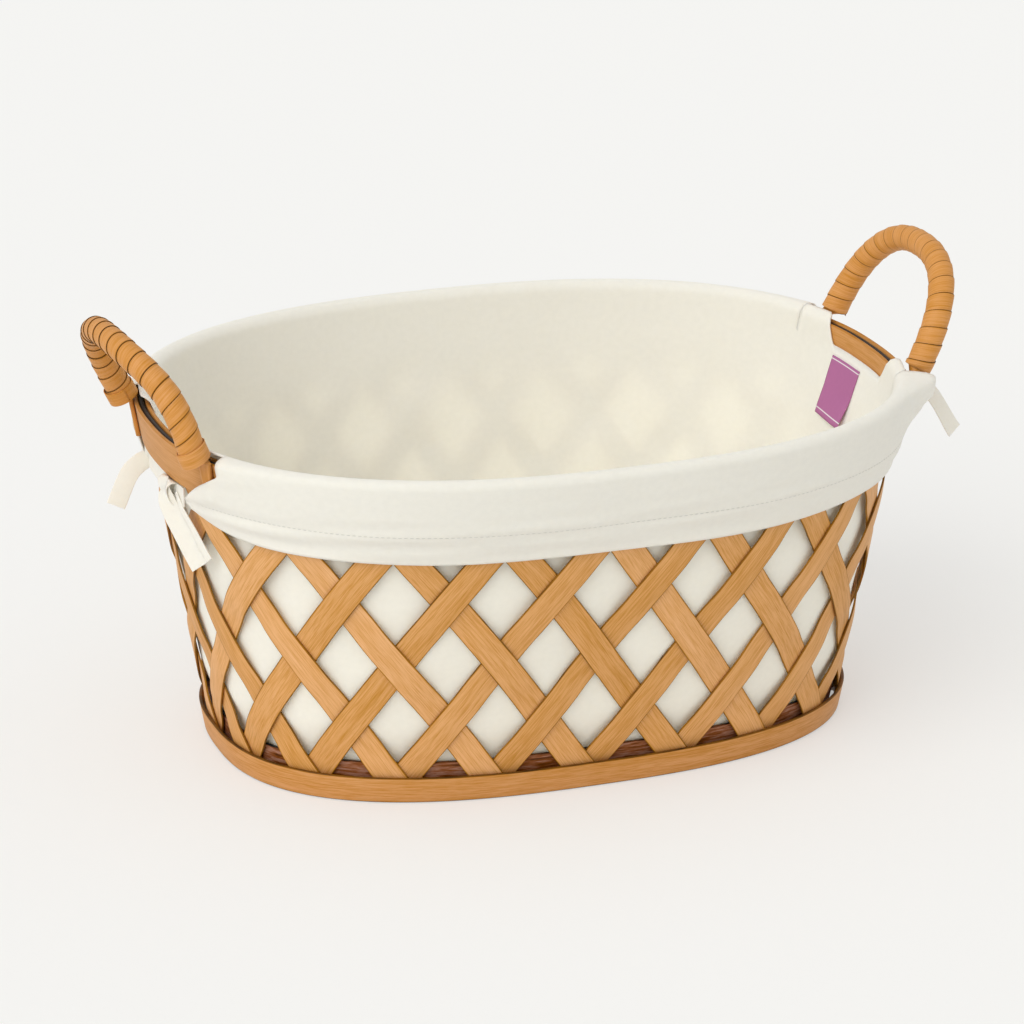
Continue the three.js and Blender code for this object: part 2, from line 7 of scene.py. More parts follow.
import bpy
import numpy as np
from mathutils import Vector
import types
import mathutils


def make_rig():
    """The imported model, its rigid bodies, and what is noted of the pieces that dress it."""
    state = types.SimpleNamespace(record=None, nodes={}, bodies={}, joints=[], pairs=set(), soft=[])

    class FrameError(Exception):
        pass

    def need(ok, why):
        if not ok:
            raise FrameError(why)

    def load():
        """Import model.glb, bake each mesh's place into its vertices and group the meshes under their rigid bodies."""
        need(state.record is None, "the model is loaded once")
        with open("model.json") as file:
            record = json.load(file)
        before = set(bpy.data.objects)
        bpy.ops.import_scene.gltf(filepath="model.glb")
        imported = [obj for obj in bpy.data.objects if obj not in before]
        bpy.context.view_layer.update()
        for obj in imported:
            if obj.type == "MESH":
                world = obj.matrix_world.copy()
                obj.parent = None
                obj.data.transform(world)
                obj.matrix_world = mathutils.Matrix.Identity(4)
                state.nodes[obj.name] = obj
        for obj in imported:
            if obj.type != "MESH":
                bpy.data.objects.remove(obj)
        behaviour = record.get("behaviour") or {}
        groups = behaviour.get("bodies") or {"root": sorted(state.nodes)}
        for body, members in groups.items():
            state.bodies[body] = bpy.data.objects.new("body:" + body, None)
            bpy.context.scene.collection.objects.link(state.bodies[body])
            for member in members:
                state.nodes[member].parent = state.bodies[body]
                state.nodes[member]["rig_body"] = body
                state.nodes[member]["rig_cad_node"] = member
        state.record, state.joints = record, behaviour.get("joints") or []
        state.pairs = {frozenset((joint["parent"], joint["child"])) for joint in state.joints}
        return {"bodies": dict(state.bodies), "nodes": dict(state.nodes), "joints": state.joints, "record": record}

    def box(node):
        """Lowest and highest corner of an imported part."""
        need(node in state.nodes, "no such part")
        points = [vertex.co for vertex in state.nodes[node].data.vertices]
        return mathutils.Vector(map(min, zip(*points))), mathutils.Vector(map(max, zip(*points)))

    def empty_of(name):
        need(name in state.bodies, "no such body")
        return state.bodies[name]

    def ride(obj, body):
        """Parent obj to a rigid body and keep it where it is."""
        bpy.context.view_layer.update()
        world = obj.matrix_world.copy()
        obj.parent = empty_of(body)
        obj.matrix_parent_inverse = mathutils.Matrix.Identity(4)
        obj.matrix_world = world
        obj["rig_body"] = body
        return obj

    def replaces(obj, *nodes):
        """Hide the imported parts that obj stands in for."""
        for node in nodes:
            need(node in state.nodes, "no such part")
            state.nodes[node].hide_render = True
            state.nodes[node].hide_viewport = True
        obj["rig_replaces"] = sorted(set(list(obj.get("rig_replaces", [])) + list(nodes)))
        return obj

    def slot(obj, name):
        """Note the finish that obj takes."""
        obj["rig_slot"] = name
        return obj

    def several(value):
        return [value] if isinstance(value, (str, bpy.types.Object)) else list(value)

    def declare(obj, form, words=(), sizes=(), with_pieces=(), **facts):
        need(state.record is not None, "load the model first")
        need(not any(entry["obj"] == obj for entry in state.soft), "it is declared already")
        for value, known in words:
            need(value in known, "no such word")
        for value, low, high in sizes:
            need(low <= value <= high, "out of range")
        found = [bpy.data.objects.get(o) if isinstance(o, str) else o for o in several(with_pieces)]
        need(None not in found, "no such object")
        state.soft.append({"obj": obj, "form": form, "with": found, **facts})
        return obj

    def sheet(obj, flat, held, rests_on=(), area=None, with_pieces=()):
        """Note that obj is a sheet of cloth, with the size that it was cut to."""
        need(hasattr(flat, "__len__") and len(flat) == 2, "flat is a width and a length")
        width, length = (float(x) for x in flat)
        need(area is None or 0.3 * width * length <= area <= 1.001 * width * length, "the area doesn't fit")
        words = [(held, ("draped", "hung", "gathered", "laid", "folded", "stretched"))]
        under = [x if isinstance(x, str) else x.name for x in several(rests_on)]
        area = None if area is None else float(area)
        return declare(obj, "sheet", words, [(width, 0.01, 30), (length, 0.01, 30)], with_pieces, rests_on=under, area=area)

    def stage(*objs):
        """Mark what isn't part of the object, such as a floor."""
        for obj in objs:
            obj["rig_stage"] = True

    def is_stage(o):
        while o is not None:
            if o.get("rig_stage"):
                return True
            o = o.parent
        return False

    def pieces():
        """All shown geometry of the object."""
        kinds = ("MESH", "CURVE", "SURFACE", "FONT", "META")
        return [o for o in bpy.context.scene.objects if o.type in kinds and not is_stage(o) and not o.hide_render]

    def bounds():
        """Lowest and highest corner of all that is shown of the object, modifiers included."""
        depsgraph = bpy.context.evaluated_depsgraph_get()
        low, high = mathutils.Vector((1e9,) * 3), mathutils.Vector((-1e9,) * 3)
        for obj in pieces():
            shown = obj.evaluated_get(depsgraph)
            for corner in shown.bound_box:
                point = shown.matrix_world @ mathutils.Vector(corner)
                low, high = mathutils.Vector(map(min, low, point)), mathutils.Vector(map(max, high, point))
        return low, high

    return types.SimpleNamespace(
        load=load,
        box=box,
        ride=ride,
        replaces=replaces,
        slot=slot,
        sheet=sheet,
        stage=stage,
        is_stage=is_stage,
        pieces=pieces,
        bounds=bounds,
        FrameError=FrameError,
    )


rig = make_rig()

bl_info = {
    "name": "Woven laundry basket",
    "version": (1, 0, 0),
    "blender": (4, 5, 0),
    "location": "3D View > Sidebar > Basket",
    "description": "Builds the splints, bands, handles and cloth liner of an oval laundry basket",
    "category": "Object",
}

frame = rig.load()
CAD_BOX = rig.bounds()

MM = 0.001
FULL_TURN = 2 * math.pi
RIM_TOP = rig.box("rim_outer_band")[1].z
RIM_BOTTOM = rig.box("rim_outer_band")[0].z
BASE_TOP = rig.box("base_outer_band")[1].z
HOOP_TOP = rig.box("base_inner_hoop")[1].z
BOARD_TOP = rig.box("base_board")[1].z
# Room from the middle of a handle's leg to the cuff beside it
LEG_ROOM = 11.0 * MM


def length(label, words, default):
    """A length in metres that a user may change."""
    return bpy.props.FloatProperty(name=label, description=words, default=default, unit="LENGTH", precision=4)


def number(label, words, default):
    """A plain number that a user may change."""
    return bpy.props.FloatProperty(name=label, description=words, default=default)


def count(label, words, default):
    """A whole number that a user may change."""
    return bpy.props.IntProperty(name=label, description=words, default=default, min=1)


def colour(label, words, default):
    """A colour that a user may change, in linear light."""
    return bpy.props.FloatVectorProperty(
        name=label, description=words, default=default, subtype="COLOR", size=3, min=0, max=1
    )


class BasketSizes(bpy.types.PropertyGroup):
    """Sizes of the basket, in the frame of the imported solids."""

    rim_length: length("Rim length", "Length of the wall at the rim", 0.474)
    rim_width: length("Rim width", "Width of the wall at the rim", 0.379)
    rim_power: number("Rim power", "Power of the rim's superellipse, squarer when higher", 2.39)
    base_length: length("Base length", "Length of the wall at the floor", 0.399)
    base_width: length("Base width", "Width of the wall at the floor", 0.264)
    base_power: number("Base power", "Power of the base's superellipse, squarer when higher", 2.59)
    wall_height: length("Wall height", "Height of the woven wall", RIM_TOP)
    strips: count("Strips each way", "Number of splint strips that lean each way", 20)
    strip_width: length("Strip width", "Width of a splint strip", 18.5 * MM)
    strip_thickness: length("Strip thickness", "Thickness of a splint strip", 1.2 * MM)
    first_row: length("First crossing", "Height of the lowest row of crossings", 10.3 * MM)
    row_pitch: length("Row pitch", "Height from one row of crossings to the next", 43.15 * MM)
    strip_phase: number("Strip phase", "Place of the first strip, in strip spacings", 0.86)
    weave_offset: length("Weave offset", "How far a strip lies in or out at a crossing", 0.85 * MM)
    band_seat: length("Band seat", "Distance from the weave's middle to a band", 2.05 * MM)
    band_thickness: length("Band thickness", "Thickness of the rim and base bands", 2.5 * MM)
    handle_span: length("Handle span", "Distance between a handle's legs", 0.131)
    handle_shift: length("Left handle shift", "How far the left handle sits towards the front", 15 * MM)
    handle_rise: length("Handle rise", "Height of a handle's arch along its lean", 0.071)
    handle_out: length("Handle foot", "How far out from the weave a handle stands on the rim", 9.5 * MM)
    handle_lean: bpy.props.FloatProperty(
        name="Handle lean",
        description="How far a handle leans out",
        default=math.radians(26.6),
        subtype="ANGLE",
    )
    handle_power: number("Handle power", "Power of a handle's arch", 2.4)
    core_radius: length("Rod radius", "Radius of the rod inside a handle", 6.8 * MM)
    tongue_length: length("Tongue length", "Length of the flattened end of a rod", 24 * MM)
    tongue_width: length("Tongue width", "Width of the flattened end of a rod", 10 * MM)
    tongue_thickness: length("Tongue thickness", "Thickness of the flattened end of a rod", 3 * MM)
    wrap_turns: count("Wrap turns", "Turns of splint ribbon round a handle", 20)
    wrap_thickness: length("Wrap thickness", "Thickness of the ribbon round a handle", 0.5 * MM)
    cloth_thickness: length("Cloth thickness", "Thickness of the liner's cloth", 1.0 * MM)
    cloth_seat: length(
        "Cloth seat", "Distance from the weave's middle to the cloth over a rim band", 5.7 * MM
    )
    end_drop: length("Liner end drop", "How far the liner lies below the rim under a handle", 11 * MM)
    cuff_drop: length("Cuff drop", "How far a cuff hangs down outside the rim", 49 * MM)
    tie_gap: length("Tie gap", "Half the gap between the cuffs at the tie", 43 * MM)
    hem_gap: length("Hem gap", "Half the gap between the cuffs at the hem", 49 * MM)
    hem_width: length("Hem width", "Distance of the hem stitches from the cuff's lower edge", 20 * MM)
    tape_width: length("Tape width", "Width of the tie tape", 12 * MM)
    tape_height: length("Tape height", "Height of the tie tape", 184.2 * MM)
    label_width: length("Label width", "Width of the sewn label", 40 * MM)
    label_height: length("Label height", "Height of the sewn label", 37 * MM)
    label_place: length("Label place", "Distance of the label from the middle of the end", 13 * MM)


class BasketFinish(bpy.types.PropertyGroup):
    """Colours of the basket, in linear light."""

    splint: colour("Splint", "Planed wood of the woven strips", (0.70, 0.350, 0.113))
    band: colour("Band", "Planed wood of the rim and base bands", (0.60, 0.275, 0.073))
    ribbon: colour("Ribbon", "Splint ribbon round the handles", (0.66, 0.295, 0.073))
    # Near black: partly the reed's own colour, partly painted shade of the slit
    filler: colour("Rim filler", "Dark reed in the slit of the rim", (0.030, 0.022, 0.018))
    hoop: colour("Hoop", "Dark stained hoop inside the base", (0.29, 0.102, 0.039))
    board: colour("Board", "Plywood of the base board", (0.36, 0.19, 0.085))
    cloth: colour("Cloth", "Cotton of the liner", (0.900, 0.866, 0.766))
    label: colour("Label", "Woven label", (0.45, 0.155, 0.33))


# Wall of the basket


def signed_power(value, power):
    """A power that keeps the sign."""
    return np.sign(value) * np.abs(value) ** power


def smooth_step(value):
    """Eases a share from 0 to 1."""
    value = np.clip(value, 0, 1)
    return value * value * (3 - 2 * value)


def fall_off(distance, reach, power=2):
    """A share that falls smoothly from 1 as a distance passes a reach."""
    return np.exp(-((distance / reach) ** power))


def unit(vectors):
    """Vectors brought to length 1."""
    return vectors / np.linalg.norm(vectors, axis=-1, keepdims=True)


def run_lengths(points):
    """Length along a line of points, from its start to each of them."""
    steps = np.linalg.norm(np.diff(points, axis=0), axis=1)
    return np.concatenate([[0], np.cumsum(steps)])


class OvalWall:
    """The flared oval wall, measured on the middle of the weave. A turn runs from +X towards +Y."""

    STEPS = 2880

    def __init__(self, sizes):
        self.sizes = sizes
        self.angles = np.linspace(0, FULL_TURN, self.STEPS + 1)
        lengths = run_lengths(self.oval(self.angles, sizes.wall_height / 2)[0])
        self.perimeter = lengths[-1]
        self.turns = lengths / self.perimeter

    def between(self, height, base, rim):
        """A measure at a height, from its values at the floor and at the rim."""
        share = np.asarray(height) / self.sizes.wall_height
        return base + (rim - base) * share

    def power(self, height):
        """The superellipse's power at a height."""
        return self.between(height, self.sizes.base_power, self.sizes.rim_power)

    def half_sizes(self, height):
        """Half the wall's length and width at a height."""
        sizes = self.sizes
        half_length = self.between(height, sizes.base_length, sizes.rim_length) / 2
        half_width = self.between(height, sizes.base_width, sizes.rim_width) / 2
        return half_length, half_width

    def oval(self, angle, height):
        """Point and level outward direction for an angle of the superellipse."""
        half_length, half_width = self.half_sizes(height)
        c, s = np.cos(angle), np.sin(angle)
        power = 2 / self.power(height)
        level = np.asarray(height) + 0 * c
        x, y = half_length * signed_power(c, power), half_width * signed_power(s, power)
        out_x, out_y = signed_power(c, 2 - power) / half_length, signed_power(s, 2 - power) / half_width
        return np.stack([x, y, level], -1), unit(np.stack([out_x, out_y, 0 * level], -1))

    def point(self, turn, height, out):
        """A place on the wall: turn, height and distance out from the weave."""
        angle = np.interp(np.mod(turn, 1), self.turns, self.angles)
        point, outward = self.oval(angle, height)
        return point + outward * np.asarray(out)[..., None]

    def outward(self, turn, height):
        """Level direction out of the wall."""
        angle = np.interp(np.mod(turn, 1), self.turns, self.angles)
        return self.oval(angle, height)[1]

    def normal(self, turn, height):
        """Direction square to the flared wall."""
        step = 1e-4
        round_it = self.point(turn + step, height, 0 * turn) - self.point(turn - step, height, 0 * turn)
        up_it = self.point(turn, height + step, 0 * turn) - self.point(turn, height - step, 0 * turn)
        return unit(np.cross(round_it, up_it))

    def end_turn(self, y, height):
        """The turn at which the +X end of the wall has a given Y."""
        share = signed_power(np.asarray(y) / self.half_sizes(height)[1], self.power(height) / 2)
        angle = np.arcsin(np.clip(share, -1, 1))
        return np.sign(angle) * np.interp(np.abs(angle), self.angles, self.turns)


# Meshes


def grid_faces(rows, columns, close_rows=False, close_columns=False):
    """Quads over a grid of points that is stored row by row."""
    a = np.arange(rows if close_rows else rows - 1)
    b = np.arange(columns if close_columns else columns - 1)
    row, column = (x.ravel() for x in np.meshgrid(a, b, indexing="ij"))
    next_row, next_column = (row + 1) % rows, (column + 1) % columns
    return np.stack(
        [
            row * columns + column,
            row * columns + next_column,
            next_row * columns + next_column,
            next_row * columns + column,
        ],
        -1,
    ).tolist()


def tube_faces(rings, columns):
    """Quads round a tube of points that is stored ring by ring, with a cap at each end."""
    end = (rings - 1) * columns
    caps = [list(range(columns))[::-1], [end + i for i in range(columns)]]
    return grid_faces(rings, columns, close_columns=True) + caps


def moved_on(faces, start):
    """Faces whose points are stored from a later place on."""
    return [[start + i for i in face] for face in faces]


def enclosed_volume(points, faces):
    """Volume inside a closed skin, below 0 where it faces in."""
    total = 0.0
    for face in faces:
        a = points[face[0]]
        for i in range(1, len(face) - 1):
            total += a @ np.cross(points[face[i]], points[face[i + 1]]) / 6
    return total


def new_piece(name, points, faces, material, values=None, closed=True):
    """A mesh object at the origin, with its named values on its points."""
    points = np.asarray(points, float).reshape(-1, 3)
    if closed and enclosed_volume(points, faces) < 0:
        faces = [face[::-1] for face in faces]
    mesh = bpy.data.meshes.new(name)
    mesh.from_pydata(points.tolist(), [], faces)
    for key, value in (values or {}).items():
        attribute = mesh.attributes.new(key, "FLOAT", "POINT")
        attribute.data.foreach_set("value", np.asarray(value, np.float32).ravel())
    mesh.shade_smooth()
    mesh.materials.append(material)
    piece = bpy.data.objects.new(name, mesh)
    bpy.context.scene.collection.objects.link(piece)
    return piece


def thicken(piece, thickness):
    """Gives a sheet of cloth its thickness, half to each side."""
    modifier = piece.modifiers.new("Cloth", "SOLIDIFY")
    modifier.thickness, modifier.offset = thickness, 0


def rounded_section(width, thickness, radius):
    """Points round a flat section with rounded corners, as (across, through)."""
    points, steps = [], 3
    for corner, (sx, sy) in enumerate(((1, 1), (-1, 1), (-1, -1), (1, -1))):
        for i in range(steps + 1):
            angle = math.pi / 2 * (corner + i / steps)
            x = sx * (width / 2 - radius) + radius * math.cos(angle)
            y = sy * (thickness / 2 - radius) + radius * math.sin(angle)
            points.append((x, y))
    return np.array(points)


def smooth_through(share, knots, values):
    """A smooth line through values that are given at the knots."""
    slopes = np.gradient(values, knots)
    i = np.clip(np.searchsorted(knots, share, side="right") - 1, 0, len(knots) - 2)
    step = knots[i + 1] - knots[i]
    t = (share - knots[i]) / step
    a, b, c, d = values[i], values[i + 1], slopes[i] * step, slopes[i + 1] * step
    ends = (2 * t**3 - 3 * t**2 + 1) * a + (3 * t**2 - 2 * t**3) * b
    return ends + (t**3 - 2 * t**2 + t) * c + (t**3 - t**2) * d


def soft_noise(u, v, seed, waves, low, high):
    """Smooth noise from -1 to 1, with a whole number of waves, from low to high, in each turn of u."""
    rng = np.random.default_rng(seed)
    total = np.zeros(np.broadcast(u, v).shape)
    for _ in range(waves):
        round_it = rng.integers(low, high + 1) * rng.choice([-1, 1])
        up_it = rng.uniform(-high, high)
        total += np.sin(FULL_TURN * (round_it * u + up_it * v + rng.uniform()))
    return total / math.sqrt(waves * 2)


# Node trees


class Tree:
    """Short calls for building a node tree."""

    def __init__(self, tree):
        self.tree = tree

    def node(self, kind, inputs=None, **settings):
        """A node with its settings and inputs, where an input is a value or another node's socket."""
        node = self.tree.nodes.new(kind)
        for key, value in settings.items():
            setattr(node, key, value)
        for key, value in (inputs or {}).items():
            if isinstance(value, bpy.types.NodeSocket):
                self.tree.links.new(value, node.inputs[key])
            else:
                node.inputs[key].default_value = value
        return node

    def math(self, operation, a, b=0.0, c=0.0, clamp=False):
        """A Math node's result."""
        node = self.node("ShaderNodeMath", {0: a, 1: b, 2: c}, operation=operation, use_clamp=clamp)
        return node.outputs[0]

    def ramp(self, value, low, high):
        """A value eased from 0 at low to 1 at high."""
        node = self.node(
            "ShaderNodeMapRange", {0: value, 1: low, 2: high, 3: 0.0, 4: 1.0}, interpolation_type="SMOOTHSTEP"
        )
        return node.outputs[0]

    def mix(self, factor, a, b):
        """A colour mix's result."""
        return self.node("ShaderNodeMix", {0: factor, 6: a, 7: b}, data_type="RGBA").outputs[2]

    def vector(self, x, y, z=0.0):
        """A vector from its three parts."""
        return self.node("ShaderNodeCombineXYZ", {0: x, 1: y, 2: z}).outputs[0]

    def noise(self, place, scale, detail, roughness=0.5):
        """A Noise node's value."""
        inputs = {"Vector": place, "Scale": scale, "Detail": detail, "Roughness": roughness}
        return self.node("ShaderNodeTexNoise", inputs).outputs[0]

    def give(self, node, sockets):
        """Joins other nodes' sockets to a node's named inputs."""
        for key, socket in sockets.items():
            self.tree.links.new(socket, node.inputs[key])


def new_tree(name, kind, inputs, outputs):
    """A node group with named sockets, and its input and output nodes."""
    tree = bpy.data.node_groups.new(name, kind)
    for side, sockets in (("INPUT", inputs), ("OUTPUT", outputs)):
        for label, socket_type, default in sockets:
            socket = tree.interface.new_socket(label, in_out=side, socket_type=socket_type)
            if default is not None:
                socket.default_value = default
    make = Tree(tree)
    return make, make.node("NodeGroupInput"), make.node("NodeGroupOutput")


FLOAT, COLOUR, GEOMETRY = "NodeSocketFloat", "NodeSocketColor", "NodeSocketGeometry"
SHADER, NODES = "ShaderNodeTree", "GeometryNodeTree"


def splint_sweep():
    """Sweeps a flat rounded section along lines that carry the way they face."""
    name = "Splint sweep"
    if name in bpy.data.node_groups:
        return bpy.data.node_groups[name]
    make, given, result = new_tree(
        name,
        NODES,
        [
            ("Lines", GEOMETRY, None),
            ("Width", FLOAT, 0.018),
            ("Thickness", FLOAT, 0.0012),
            ("Edge Radius", FLOAT, 0.0004),
            ("Material", "NodeSocketMaterial", None),
        ],
        [("Geometry", GEOMETRY, None)],
    )
    curve = make.node("GeometryNodeMeshToCurve", {"Mesh": given.outputs["Lines"]})
    facing = make.node("GeometryNodeInputNamedAttribute", {"Name": "facing"}, data_type="FLOAT_VECTOR")
    turned = make.node("GeometryNodeSetCurveNormal", {"Curve": curve.outputs[0]}, mode="FREE")
    make.give(turned, {"Normal": facing.outputs[0]})
    section = make.node(
        "GeometryNodeCurvePrimitiveQuadrilateral",
        {"Width": given.outputs["Thickness"], "Height": given.outputs["Width"]},
    )
    rounded = make.node(
        "GeometryNodeFilletCurve",
        {"Curve": section.outputs[0], "Radius": given.outputs["Edge Radius"], "Count": 3},
        mode="POLY",
    )
    place = make.node("GeometryNodeInputPosition")
    parts = make.node("ShaderNodeSeparateXYZ", {0: place.outputs[0]})
    marked = make.node(
        "GeometryNodeStoreNamedAttribute",
        {"Geometry": rounded.outputs[0], "Name": "across", "Value": parts.outputs["Y"]},
        data_type="FLOAT",
        domain="POINT",
    )
    swept = make.node(
        "GeometryNodeCurveToMesh",
        {"Curve": turned.outputs[0], "Profile Curve": marked.outputs[0], "Fill Caps": True},
    )
    smooth = make.node("GeometryNodeSetShadeSmooth", {"Geometry": swept.outputs[0], "Shade Smooth": True})
    real = make.node("GeometryNodeRealizeInstances", {"Geometry": smooth.outputs[0]})
    finished = make.node(
        "GeometryNodeSetMaterial", {"Geometry": real.outputs[0], "Material": given.outputs["Material"]}
    )
    make.give(result, {"Geometry": finished.outputs[0]})
    return make.tree


def stitch_row():
    """Sets short rounded stitches along lines, at an even pitch."""
    name = "Stitch row"
    if name in bpy.data.node_groups:
        return bpy.data.node_groups[name]
    make, given, result = new_tree(
        name,
        NODES,
        [
            ("Lines", GEOMETRY, None),
            ("Pitch", FLOAT, 0.0035),
            ("Stitch Length", FLOAT, 0.0026),
            ("Thread", FLOAT, 0.0005),
            ("Material", "NodeSocketMaterial", None),
        ],
        [("Geometry", GEOMETRY, None)],
    )
    curve = make.node("GeometryNodeMeshToCurve", {"Mesh": given.outputs["Lines"]})
    spaced = make.node(
        "GeometryNodeResampleCurve",
        {"Curve": curve.outputs[0], "Length": given.outputs["Pitch"]},
        mode="LENGTH",
    )
    tangent = make.node("GeometryNodeInputTangent")
    turn = make.node("FunctionNodeAlignRotationToVector", {"Vector": tangent.outputs[0]}, axis="Z")
    ball = make.node("GeometryNodeMeshUVSphere", {"Segments": 6, "Rings": 5, "Radius": 0.5})
    thread = given.outputs["Thread"]
    placed = make.node(
        "GeometryNodeInstanceOnPoints",
        {
            "Points": spaced.outputs[0],
            "Instance": ball.outputs["Mesh"],
            "Rotation": turn.outputs[0],
            "Scale": make.vector(thread, thread, given.outputs["Stitch Length"]),
        },
    )
    real = make.node("GeometryNodeRealizeInstances", {"Geometry": placed.outputs[0]})
    smooth = make.node("GeometryNodeSetShadeSmooth", {"Geometry": real.outputs[0], "Shade Smooth": True})
    finished = make.node(
        "GeometryNodeSetMaterial", {"Geometry": smooth.outputs[0], "Material": given.outputs["Material"]}
    )
    make.give(result, {"Geometry": finished.outputs[0]})
    return make.tree


def line_piece(name, lines, tree, settings):
    """Runs a tree over lines of (points, values) and returns its result as a plain mesh object."""
    points, edges, values, start = [], [], {}, 0
    for line, line_values in lines:
        points.extend(np.asarray(line).tolist())
        edges.extend((start + i, start + i + 1) for i in range(len(line) - 1))
        start += len(line)
        for key, value in line_values.items():
            values.setdefault(key, []).append(np.asarray(value, np.float32))
    mesh = bpy.data.meshes.new(name + "_lines")
    mesh.from_pydata(points, edges, [])
    for key, value in values.items():
        value = np.concatenate(value)
        vector = value.ndim == 2
        attribute = mesh.attributes.new(key, "FLOAT_VECTOR" if vector else "FLOAT", "POINT")
        attribute.data.foreach_set("vector" if vector else "value", value.ravel())
    source = bpy.data.objects.new(name + "_lines", mesh)
    bpy.context.scene.collection.objects.link(source)
    modifier = source.modifiers.new(tree.name, "NODES")
    modifier.node_group = tree
    for item in tree.interface.items_tree:
        if item.item_type == "SOCKET" and item.in_out == "INPUT" and item.name in settings:
            modifier[item.identifier] = settings[item.name]
    bpy.context.view_layer.update()
    graph = bpy.context.evaluated_depsgraph_get()
    made = bpy.data.meshes.new_from_object(source.evaluated_get(graph), depsgraph=graph)
    made.name = name
    source.modifiers.remove(modifier)
    bpy.data.objects.remove(source)
    bpy.data.meshes.remove(mesh)
    if not len(made.polygons):
        raise RuntimeError(f"{name}: the tree made no faces")
    piece = bpy.data.objects.new(name, made)
    bpy.context.scene.collection.objects.link(piece)
    return piece


# Shader groups

# Splint grain: noise cells per metre along and across, and how strongly each part shows
FIBRE_ALONG, BROAD_ALONG, BROAD_ACROSS = 60.0, 9.0, 190.0
TONE_SHIFT, BROAD_TONE, PORE_TONE, SHADE_WARMTH = 7.3, 0.26, 0.38, 0.55
PORE_FROM, PORE_FULL, PORE_DEPTH = 0.60, 0.78, 0.6
# Widths in from the edge over which the painted edge shade goes from full to none
PAINTED_SHADE_FULL, PAINTED_SHADE_NONE = 0.2 * MM, 0.9 * MM
WOOD_ROUGH, WOOD_ROUGH_SPREAD, WOOD_SHINE = 0.40, 0.22, 0.27
# Plain weave: noise cells per metre, and how strongly each part shows
SLUB_CELLS, CLOUD_CELLS = 260.0, 11.0
SLUB_TONE, CLOUD_TONE, THREAD_TONE, THREAD_RELIEF = 0.07, 0.04, 0.012, 0.5
CLOTH_ROUGH, CLOTH_ROUGH_SPREAD = 0.82, 0.12


def splint_grain():
    """Planed wood: long fibres and broad tone, with painted shade darkening its edges, from the along, across and tone
    values.
    """
    name = "Splint grain"
    if name in bpy.data.node_groups:
        return bpy.data.node_groups[name]
    make, given, result = new_tree(
        name,
        SHADER,
        [
            ("Color", COLOUR, (0.6, 0.3, 0.1, 1)),
            ("Along", FLOAT, 0.0),
            ("Across", FLOAT, 0.0),
            ("Tone", FLOAT, 0.5),
            ("Fibre", FLOAT, 0.5),
            ("Grain", FLOAT, 1500.0),
            ("Tone Spread", FLOAT, 0.25),
            ("Half Width", FLOAT, 0.009),
            ("Edge Dark", FLOAT, 0.3),
        ],
        [("Color", COLOUR, None), ("Roughness", FLOAT, None), ("Height", FLOAT, None)],
    )
    along, across, tone = (given.outputs[x] for x in ("Along", "Across", "Tone"))
    shift = make.math("MULTIPLY", tone, TONE_SHIFT)

    def drawn_out(along_cells, across_cells, detail, roughness):
        """Noise drawn out along the grain, in a place of its own for each tone."""
        x = make.math("MULTIPLY", along, along_cells)
        y = make.math("MULTIPLY", across, across_cells)
        return make.noise(make.vector(x, y, shift), 1.0, detail, roughness)

    fine = drawn_out(FIBRE_ALONG, given.outputs["Grain"], 3.0, 0.6)
    broad = drawn_out(BROAD_ALONG, BROAD_ACROSS, 2.0, 0.5)
    pore = make.ramp(fine, PORE_FROM, PORE_FULL)
    fibre = make.math("MULTIPLY", make.math("SUBTRACT", fine, 0.5), given.outputs["Fibre"])
    light = make.math("MULTIPLY_ADD", make.math("SUBTRACT", broad, 0.5), BROAD_TONE, fibre)
    own = make.math("MULTIPLY", make.math("SUBTRACT", tone, 0.5), given.outputs["Tone Spread"])
    value = make.math("ADD", make.math("ADD", light, own), 1.0)
    # Painted shade along the edges, standing in for the shadow where a piece meets its neighbours, the slit or the
    # floor
    inset = make.math("SUBTRACT", given.outputs["Half Width"], make.math("ABSOLUTE", across))
    edge = make.math("SUBTRACT", 1.0, make.ramp(inset, PAINTED_SHADE_FULL, PAINTED_SHADE_NONE))
    painted_shade = make.math("MULTIPLY", edge, given.outputs["Edge Dark"])
    pores = make.math("MULTIPLY", make.math("MULTIPLY", pore, given.outputs["Fibre"]), PORE_TONE)
    level = make.math("SUBTRACT", make.math("SUBTRACT", value, painted_shade), pores)
    warm = make.math("MULTIPLY_ADD", make.math("SUBTRACT", 1.0, level), SHADE_WARMTH, 1.0)
    shade = make.node(
        "ShaderNodeHueSaturation", {"Saturation": warm, "Value": level, "Color": given.outputs["Color"]}
    )
    rough = make.math("MULTIPLY_ADD", fine, WOOD_ROUGH_SPREAD, WOOD_ROUGH)
    height = make.math("MULTIPLY_ADD", pore, -PORE_DEPTH, fine)
    make.give(result, {"Color": shade.outputs[0], "Roughness": rough, "Height": height})
    return make.tree


